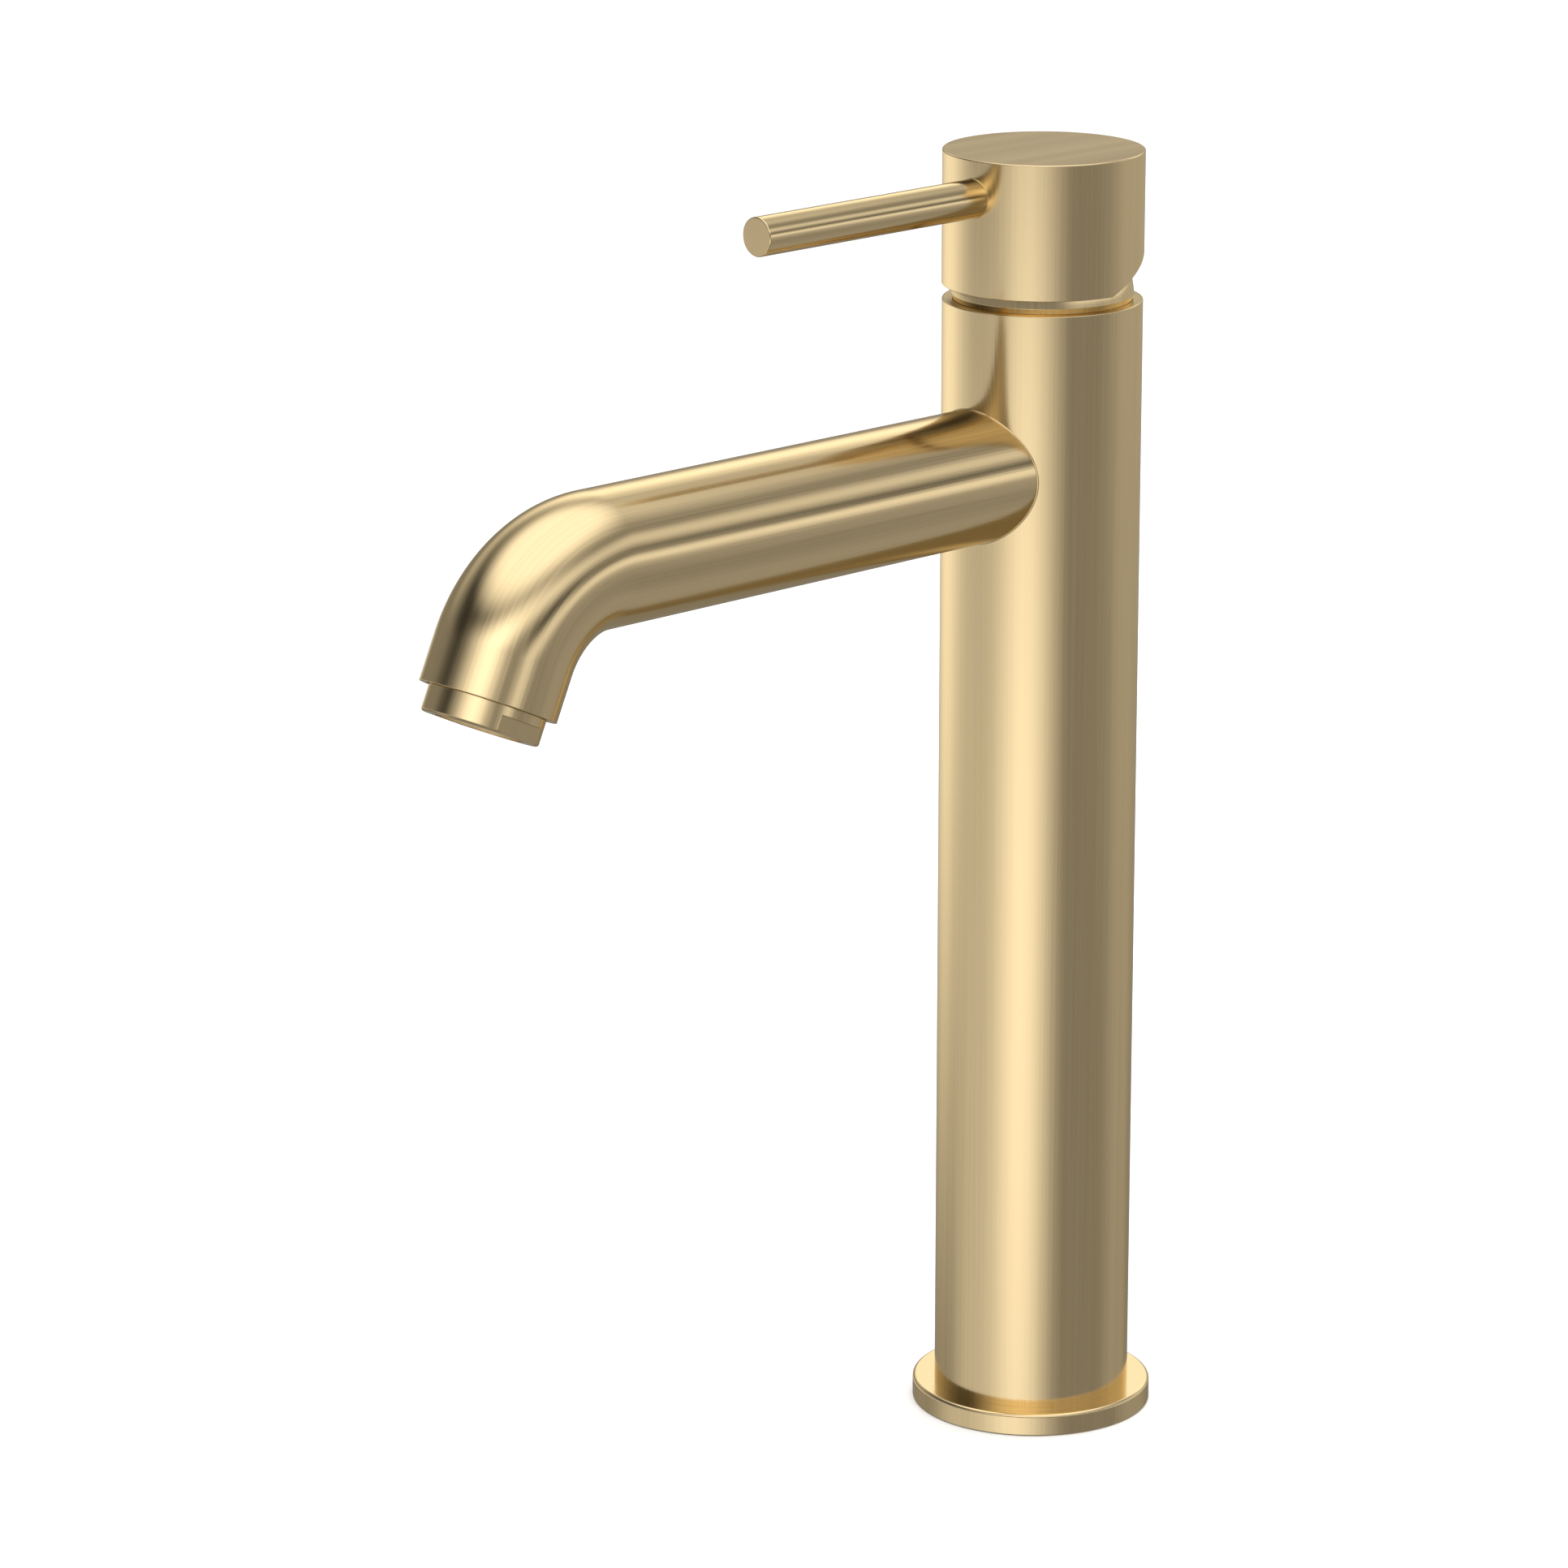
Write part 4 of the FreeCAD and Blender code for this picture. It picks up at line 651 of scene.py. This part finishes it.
def collarPiece():
    r, a = size("aerator_housing")[2].x / 2, aerator
    profile = [(a["bore"] - a["lip"], -a["drop"]), (r - a["chamfer"], -a["drop"]),
               (r, a["chamfer"] - a["drop"]),
               (r, -a["flatsStart"]), (r, -a["flatsStart"] + hair), (r, 0), (a["thread"], 0),
               (a["thread"], a["shank"]), (a["bore"], a["shank"]), (a["bore"], a["lip"] - a["drop"]),
               (a["bore"] - a["lip"], a["lip"] - a["drop"])]
    half = a["acrossFlats"] / 2
    edge = acos(half / r)  # where a flat runs out
    angles = sorted([2 * pi * k / a["around"] for k in range(a["around"])]
                    + [edge, 2 * pi - edge, pi - edge, pi + edge])
    verts, faces = [], []
    for radius, z in profile:
        for angle in angles:
            x, y = radius * cos(angle), radius * sin(angle)
            if z <= -a["flatsStart"] and radius > half:
                x = max(-half, min(half, x))
            verts.append(Vector((x, y, max(z, -a["drop"]))))
    n = len(angles)
    for i in range(len(profile)):
        for j in range(n):
            i2, j2 = (i + 1) % len(profile), (j + 1) % n
            faces.append([i * n + j, i * n + j2, i2 * n + j2, i2 * n + j])
    mesh = bpy.data.meshes.new("aeratorCollar")
    mesh.from_pydata([outlet @ v for v in verts], [], faces)
    bm = bmesh.new()
    bm.from_mesh(mesh)
    bmesh.ops.remove_doubles(bm, verts=bm.verts, dist=weld)
    bmesh.ops.dissolve_degenerate(bm, edges=bm.edges, dist=weld)
    bmesh.ops.recalc_face_normals(bm, faces=bm.faces)
    path = bm.loops.layers.float_vector.new("brushPath")
    uv = bm.loops.layers.uv.new("brushMap")
    inside = outlet.inverted()
    for face in bm.faces:
        for loop in face.loops:
            spot = inside @ loop.vert.co
            flat = abs((inside.to_3x3() @ face.normal).z) > flatFaces["collarLevel"]
            loop[path] = brushAt(*spot, flat, "turned")
            loop[uv].uv = (atan2(spot.y, abs(spot.x) + weld) * r, spot.z)
        face.smooth = True
    bm.to_mesh(mesh)
    bm.free()
    piece = newObject("aeratorCollar", mesh)
    softEdges(piece, a["edge"], angle=20)
    return applied(piece)


collar = collarPiece()
finished(collar, "body", brass, ["aerator_housing"])

comb = {"pitch": 2.6 * mm, "wall": 0.4 * mm, "height": 3.4 * mm, "rim": 0.7 * mm, "rimWidth": 1.7 * mm,
        "inset": 0.1 * mm, "recess": 0.3 * mm, "cellReach": 0.56, "count": 12}


def combTree():
    # hexagonal cells on a staggered grid, kept inside a circle
    tree, given, out = newTree("honeycombCells", {
        "Pitch": "Float", "Wall": "Float", "Height": "Float", "Field Radius": "Float", "Count": "Int",
        "Material": "Material"})
    across = addNode(tree, "ShaderNodeMath", {0: given["Pitch"], 1: given["Count"]}, operation="MULTIPLY")
    deep = addNode(tree, "ShaderNodeMath", {0: across.outputs[0], 1: sqrt(3) / 2}, operation="MULTIPLY")
    more = addNode(tree, "ShaderNodeMath", {0: given["Count"], 1: 1.0}, operation="ADD")
    grid = addNode(tree, "GeometryNodeMeshGrid", {"Size X": across.outputs[0], "Size Y": deep.outputs[0],
                                                 "Vertices X": more.outputs[0],
                                                 "Vertices Y": more.outputs[0]})
    spot = addNode(tree, "GeometryNodeInputPosition")
    where = addNode(tree, "ShaderNodeSeparateXYZ", {0: spot.outputs[0]})
    rowHigh = addNode(tree, "ShaderNodeMath", {0: given["Pitch"], 1: sqrt(3) / 2}, operation="MULTIPLY")
    row = addNode(tree, "ShaderNodeMath", {0: where.outputs["Y"], 1: rowHigh.outputs[0]}, operation="DIVIDE")
    near = addNode(tree, "ShaderNodeMath", {0: row.outputs[0]}, operation="ROUND")
    odd = addNode(tree, "ShaderNodeMath", {0: near.outputs[0], 1: 2.0}, operation="FLOORED_MODULO")
    step = addNode(tree, "ShaderNodeMath", {0: odd.outputs[0], 1: given["Pitch"]}, operation="MULTIPLY")
    halfStep = addNode(tree, "ShaderNodeMath", {0: step.outputs[0], 1: 0.5}, operation="MULTIPLY")
    offset = addNode(tree, "ShaderNodeCombineXYZ", {0: halfStep.outputs[0]})
    stagger = addNode(tree, "GeometryNodeSetPosition",
                      {"Geometry": grid.outputs[0], "Offset": offset.outputs[0]})
    reach = addNode(tree, "ShaderNodeVectorMath", {0: spot.outputs[0]}, operation="LENGTH")
    outside = addNode(tree, "FunctionNodeCompare", {0: reach.outputs["Value"], 1: given["Field Radius"]},
                      operation="GREATER_THAN")
    kept = addNode(tree, "GeometryNodeDeleteGeometry", {"Geometry": stagger.outputs[0],
                                                       "Selection": outside.outputs[0]})
    cellAcross = addNode(tree, "ShaderNodeMath", {0: given["Pitch"], 1: given["Wall"]}, operation="SUBTRACT")
    cellRadius = addNode(tree, "ShaderNodeMath", {0: cellAcross.outputs[0], 1: sqrt(3)}, operation="DIVIDE")
    hexagon = addNode(tree, "GeometryNodeCurvePrimitiveCircle",
                      {"Resolution": 6, "Radius": cellRadius.outputs[0]})
    turned = addNode(tree, "GeometryNodeTransform",
                     {"Geometry": hexagon.outputs[0], "Rotation": (0, 0, pi / 6)})
    section = addNode(tree, "GeometryNodeCurvePrimitiveQuadrilateral", {"Width": given["Wall"],
                                                                       "Height": given["Height"]})
    cell = addNode(tree, "GeometryNodeCurveToMesh",
                   {"Curve": turned.outputs[0], "Profile Curve": section.outputs[0]})
    cells = addNode(tree, "GeometryNodeInstanceOnPoints",
                    {"Points": kept.outputs[0], "Instance": cell.outputs[0]})
    real = addNode(tree, "GeometryNodeRealizeInstances", {"Geometry": cells.outputs[0]})
    coloured = addNode(tree, "GeometryNodeSetMaterial",
                       {"Geometry": real.outputs[0], "Material": given["Material"]})
    tree.links.new(coloured.outputs[0], out.inputs[0])
    return tree


def placed(piece, place):  # puts the place in the mesh, with faces outwards
    piece.data.transform(place)
    bm = bmesh.new()
    bm.from_mesh(piece.data)
    bmesh.ops.remove_doubles(bm, verts=bm.verts, dist=weld)
    bmesh.ops.recalc_face_normals(bm, faces=bm.faces)
    bm.to_mesh(piece.data)
    bm.free()


combMiddle = aerator["lip"] - aerator["drop"] + comb["height"] / 2
fieldRadius = aerator["bore"] - comb["rim"] - comb["pitch"] * comb["cellReach"]
combCells = meshFromNodes("aeratorCells", combTree(), {
    "Pitch": comb["pitch"], "Wall": comb["wall"], "Height": comb["height"], "Field Radius": fieldRadius,
    "Count": comb["count"], "Material": materials["white_plastic"]})
placed(combCells, outlet @ Matrix.Translation((0, 0, combMiddle)))
finished(combCells, "body", materials["white_plastic"], ["aerator_honeycomb"])
combOut = aerator["bore"] - comb["inset"]
combIn, combLow = combOut - comb["rimWidth"], combMiddle - comb["height"] / 2 + comb["recess"]
combHigh = combMiddle + comb["height"] / 2 - comb["inset"]
combRim = turnedPiece("aeratorCellRim", roundedProfile([
    (combIn, combLow, comb["inset"]),
    (combOut, combLow, comb["inset"]),
    (combOut, combHigh, comb["inset"]),
    (combIn, combHigh, comb["inset"]),
]), place=outlet, around=64)
finished(combRim, "body", materials["white_plastic"])

screen = {"pitch": 0.8 * mm, "wire": 0.11 * mm, "sides": 5, "count": 26, "above": 0.2 * mm,
          "inset": 0.15 * mm}


def screenTree():
    # two layers of crossed wires, cut round
    tree, given, out = newTree("crossedWires", {
        "Pitch": "Float", "Wire Radius": "Float", "Field Radius": "Float", "Sides": "Int", "Count": "Int",
        "Material": "Material"})
    layers = addNode(tree, "GeometryNodeJoinGeometry")
    wide = addNode(tree, "ShaderNodeMath", {0: given["Pitch"], 1: given["Count"]}, operation="MULTIPLY")
    start = addNode(tree, "ShaderNodeMath", {0: wide.outputs[0], 1: -0.5}, operation="MULTIPLY")
    startSpot = addNode(tree, "ShaderNodeCombineXYZ", {0: start.outputs[0]})
    stepSpot = addNode(tree, "ShaderNodeCombineXYZ", {0: given["Pitch"]})
    more = addNode(tree, "ShaderNodeMath", {0: given["Count"], 1: 1.0}, operation="ADD")
    line = addNode(tree, "GeometryNodeMeshLine", {"Count": more.outputs[0],
                                                 "Start Location": startSpot.outputs[0],
                                                 "Offset": stepSpot.outputs[0]})
    spot = addNode(tree, "GeometryNodeInputPosition")
    where = addNode(tree, "ShaderNodeSeparateXYZ", {0: spot.outputs[0]})
    ratio = addNode(tree, "ShaderNodeMath", {0: where.outputs["X"], 1: given["Field Radius"]},
                    operation="DIVIDE")
    square = addNode(tree, "ShaderNodeMath", {0: ratio.outputs[0], 1: 2.0}, operation="POWER")
    left = addNode(tree, "ShaderNodeMath", {0: 1.0, 1: square.outputs[0]}, operation="SUBTRACT")
    clear = addNode(tree, "ShaderNodeMath", {0: left.outputs[0], 1: 0.001}, operation="MAXIMUM")
    share = addNode(tree, "ShaderNodeMath", {0: clear.outputs[0]}, operation="SQRT")
    scale = addNode(tree, "ShaderNodeCombineXYZ", {0: 1.0, 1: share.outputs[0], 2: 1.0})
    length = addNode(tree, "ShaderNodeMath", {0: given["Field Radius"], 1: 2.0}, operation="MULTIPLY")
    wire = addNode(tree, "GeometryNodeMeshCylinder", {"Vertices": given["Sides"],
                                                     "Radius": given["Wire Radius"],
                                                     "Depth": length.outputs[0]})
    laid = addNode(tree, "GeometryNodeTransform", {"Geometry": wire.outputs[0], "Rotation": (pi / 2, 0, 0)})
    wires = addNode(tree, "GeometryNodeInstanceOnPoints", {"Points": line.outputs[0],
                                                          "Instance": laid.outputs[0],
                                                          "Scale": scale.outputs[0]})
    lift = addNode(tree, "ShaderNodeCombineXYZ", {2: given["Wire Radius"]})
    crossed = addNode(tree, "GeometryNodeTransform", {"Geometry": wires.outputs[0],
                                                     "Rotation": (0, 0, pi / 2),
                                                     "Translation": lift.outputs[0]})
    for layer in (wires, crossed):
        tree.links.new(layer.outputs[0], layers.inputs[0])
    real = addNode(tree, "GeometryNodeRealizeInstances", {"Geometry": layers.outputs[0]})
    coloured = addNode(tree, "GeometryNodeSetMaterial",
                       {"Geometry": real.outputs[0], "Material": given["Material"]})
    tree.links.new(coloured.outputs[0], out.inputs[0])
    return tree


screenZ = combMiddle + comb["height"] / 2 + screen["above"]
screenWires = meshFromNodes("aeratorWires", screenTree(), {
    "Pitch": screen["pitch"], "Wire Radius": screen["wire"],
    "Field Radius": aerator["bore"] - screen["inset"],
    "Sides": screen["sides"], "Count": screen["count"], "Material": materials["steel"]})
placed(screenWires, outlet @ Matrix.Translation((0, 0, screenZ)))
finished(screenWires, "body", materials["steel"], ["aerator_screen"])
print("aerator made")


threads = {"pitch": 1.0 * mm, "height": 0.32 * mm, "perTurn": 32, "shortBy": 1.2, "setIn": 0.6 * mm}


def threadTree():
    tree, given, out = newTree("threadRidge", {
        "Turns": "Float", "Pitch": "Float", "Hole Radius": "Float", "Ridge": "Float", "Per Turn": "Int",
        "Mouth": "Vector", "Material": "Material"})
    tall = addNode(tree, "ShaderNodeMath", {0: given["Turns"], 1: given["Pitch"]}, operation="MULTIPLY")
    coil = addNode(tree, "GeometryNodeCurveSpiral", {"Resolution": given["Per Turn"],
                                                    "Rotations": given["Turns"],
                                                    "Start Radius": given["Hole Radius"],
                                                    "End Radius": given["Hole Radius"],
                                                    "Height": tall.outputs[0]})
    ridge = addNode(tree, "GeometryNodeCurvePrimitiveCircle", {"Resolution": 4, "Radius": given["Ridge"]})
    swept = addNode(tree, "GeometryNodeCurveToMesh", {"Curve": coil.outputs[0],
                                                     "Profile Curve": ridge.outputs[0],
                                                     "Fill Caps": True})
    put = addNode(tree, "GeometryNodeTransform",
                  {"Geometry": swept.outputs[0], "Translation": given["Mouth"]})
    real = addNode(tree, "GeometryNodeRealizeInstances", {"Geometry": put.outputs[0]})
    coloured = addNode(tree, "GeometryNodeSetMaterial",
                       {"Geometry": real.outputs[0], "Material": given["Material"]})
    tree.links.new(coloured.outputs[0], out.inputs[0])
    return tree


ridgeTree = threadTree()
for mount in frame["record"]["mounts"]:
    if mount["kind"] != "threaded_hole":
        continue
    holeRadius, depth = mount["dims"]["r_mm"] * mm, mount["dims"]["length_mm"] * mm
    turns = depth / threads["pitch"] - threads["shortBy"]
    mouth = Vector(mount["pos_m"]) + Vector((0, 0, threads["setIn"]))
    ridge = meshFromNodes(mount["name"] + "Thread", ridgeTree, {
        "Turns": turns, "Pitch": threads["pitch"], "Hole Radius": holeRadius, "Ridge": threads["height"],
        "Per Turn": threads["perTurn"], "Mouth": tuple(mouth), "Material": materials["raw_brass"]})
    placed(ridge, Matrix())
    finished(ridge, "body", materials["raw_brass"])
print("threads made")


stage = {"floorSize": 14.0, "floorColour": "#F6F6F6", "floorMottle": "#F2F2F2", "floorRough": 0.75,
         "mottleScale": 6.0, "floorDrop": 0.2 * mm}

floorMesh = bpy.data.meshes.new("floor")
side = stage["floorSize"] / 2
floorMesh.from_pydata([(-side, -side, 0), (side, -side, 0), (side, side, 0), (-side, side, 0)], [],
                      [(0, 1, 2, 3)])
floor = newObject("floor", floorMesh)
floor.location.z = cadBox[0].z - stage["floorDrop"]
floor.visible_glossy = False  # the brass is lit by the soft boxes alone
floorStuff, floorTree, floorShader = newMaterial("paintedBoard", stage["floorColour"], 0.0,
                                                 stage["floorRough"])
floorSpot = addNode(floorTree, "ShaderNodeTexCoord").outputs["Object"]
floorNoise = addNode(floorTree, "ShaderNodeTexNoise", {"Vector": floorSpot,
                                                      "Scale": stage["mottleScale"]}).outputs["Fac"]
floorTone = addNode(floorTree, "ShaderNodeMix", {0: floorNoise, 6: linear(stage["floorColour"]),
                                                7: linear(stage["floorMottle"])}, data_type="RGBA").outputs[2]
floorTree.links.new(floorTone, floorShader.inputs["Base Color"])
floorMesh.materials.append(floorStuff)

# soft boxes round the object: azimuth from -Y towards +X, elevation, half sizes and soft edges, all in
# degrees, then the strength; a negative one is a dark flag
softBoxes = {
    "key": (24, 25, 3, 1, 58, 17, 1.12),
    "keyRight": (57, 32, 9, 2, 60, 13, 0.80),
    "keyFoot": (26, -17, 1, 1, 54, 14, 1.16),
    "front": (-32, -26, 2, 13, 42, 6, 0.40),
    "left": (-90, -12, 3, 1, 52, 9, 0.98),
    "backLeft": (-143, 28, 4, 1, 38, 19, 1.05),
    "backLeftWide": (-138, 22, 34, 2, 60, 11, 0.36),
    "back": (175, -1, 18, 8, 50, 12, 0.24),
    "backFoot": (165, -33, 12, 14, 24, 8, 0.12),
    "rightStrip": (130, 3.2, 37, 1, 35, 6.5, 0.76),
    "rightLine": (126, 13, 34, 1, 12, 3.5, -0.26),
    "rightPanel": (132, 26, 18, 1, 58, 9, 0.58),
    "shadeFront": (-37, 31, 25, 4, 56, 20, -0.24),
}
room = {"base": 0.28, "ceilingFrom": 37, "ceilingFull": 64, "ceiling": 1.20, "darkest": 0.03,
        "colour": "#FFFFFF", "backdrop": 0.96}


def studioWorld():
    world = bpy.data.worlds.new("studio")
    bpy.context.scene.world = world
    world.use_nodes = True
    tree = world.node_tree
    tree.nodes.clear()
    way = addNode(tree, "ShaderNodeSeparateXYZ",
                  {0: addNode(tree, "ShaderNodeTexCoord").outputs["Generated"]})
    front = addNode(tree, "ShaderNodeMath", {0: way.outputs["Y"], 1: -1.0}, operation="MULTIPLY")
    azimuth = addNode(tree, "ShaderNodeMath", {0: way.outputs["X"], 1: front.outputs[0]}, operation="ARCTAN2")
    rise = addNode(tree, "ShaderNodeMath", {0: way.outputs["Z"]}, operation="ARCSINE")
    azDegrees = addNode(tree, "ShaderNodeMath", {0: azimuth.outputs[0]}, operation="DEGREES").outputs[0]
    elDegrees = addNode(tree, "ShaderNodeMath", {0: rise.outputs[0]}, operation="DEGREES").outputs[0]
    total = addNode(tree, "ShaderNodeMapRange", {
        "Value": elDegrees, 1: float(room["ceilingFrom"]), 2: float(room["ceilingFull"]), 3: room["base"],
        4: room["base"] + room["ceiling"]}, interpolation_type="SMOOTHSTEP").outputs[0]
    for az, el, halfAz, halfEl, softAz, softEl, power in softBoxes.values():
        masks = []
        for angle, middle, half, soft in ((azDegrees, az, halfAz, softAz), (elDegrees, el, halfEl, softEl)):
            away = addNode(tree, "ShaderNodeMath", {0: angle, 1: float(middle)}, operation="SUBTRACT")
            turn = addNode(tree, "ShaderNodeMath", {0: away.outputs[0], 1: 180.0, 2: -180.0},
                           operation="WRAP")
            gap = addNode(tree, "ShaderNodeMath", {0: turn.outputs[0]}, operation="ABSOLUTE")
            masks.append(addNode(tree, "ShaderNodeMapRange", {"Value": gap.outputs[0], 1: half + soft,
                                                              2: float(half)},
                                                              interpolation_type="SMOOTHSTEP"))
        mask = addNode(tree, "ShaderNodeMath", {0: masks[0].outputs[0], 1: masks[1].outputs[0]},
                       operation="MULTIPLY")
        total = addNode(tree, "ShaderNodeMath", {0: mask.outputs[0], 1: power, 2: total},
                        operation="MULTIPLY_ADD").outputs[0]
    total = addNode(tree, "ShaderNodeMath", {0: total, 1: room["darkest"]}, operation="MAXIMUM").outputs[0]
    # the room behind the floor is plain and pale
    seen = addNode(tree, "ShaderNodeLightPath").outputs["Is Camera Ray"]
    shown = addNode(tree, "ShaderNodeMix", {0: seen, 2: total, 3: room["backdrop"]},
                    data_type="FLOAT").outputs[0]
    light = addNode(tree, "ShaderNodeBackground", {"Color": linear(room["colour"]), "Strength": shown})
    addNode(tree, "ShaderNodeOutputWorld", {"Surface": light.outputs[0]})


studioWorld()

lamp = {"height": 2.4, "size": 3.0, "watts": 60}
lampData = bpy.data.lights.new("overhead", "AREA")
lampData.size = lamp["size"]
lampData.energy = lamp["watts"]
overhead = newObject("overhead", lampData)
overhead.location = (0, 0, lamp["height"])
overhead.visible_glossy = False  # lights the floor, and isn't mirrored in the brass

camera = {"azimuth": 43.59, "distance": 1.40751, "height": 0.53792, "swing": -2.35, "down": 15.5,
          "lens": 146.93, "sensor": 36.0, "nearest": 0.05, "farthest": 60}


def placeCamera():
    a, swing, down = (radians(camera[k]) for k in ("azimuth", "swing", "down"))
    up, ahead, right = Vector((0, 0, 1)), Vector((-sin(a), cos(a), 0)), Vector((cos(a), sin(a), 0))
    ahead, right = ahead * cos(swing) + right * sin(swing), right * cos(swing) - ahead * sin(swing)
    look = ahead * cos(down) - up * sin(down)
    top = right.cross(look)
    data = bpy.data.cameras.new("camera")
    data.lens, data.sensor_width = camera["lens"], camera["sensor"]
    data.clip_start, data.clip_end = camera["nearest"], camera["farthest"]
    eye = newObject("camera", data)
    eye.matrix_world = Matrix((
        (right.x, top.x, -look.x, sin(a) * camera["distance"]),
        (right.y, top.y, -look.y, -cos(a) * camera["distance"]),
        (right.z, top.z, -look.z, camera["height"]),
        (0, 0, 0, 1)))
    bpy.context.scene.camera = eye


placeCamera()
bpy.context.scene.view_settings.view_transform = "Standard"
print("stage ready")
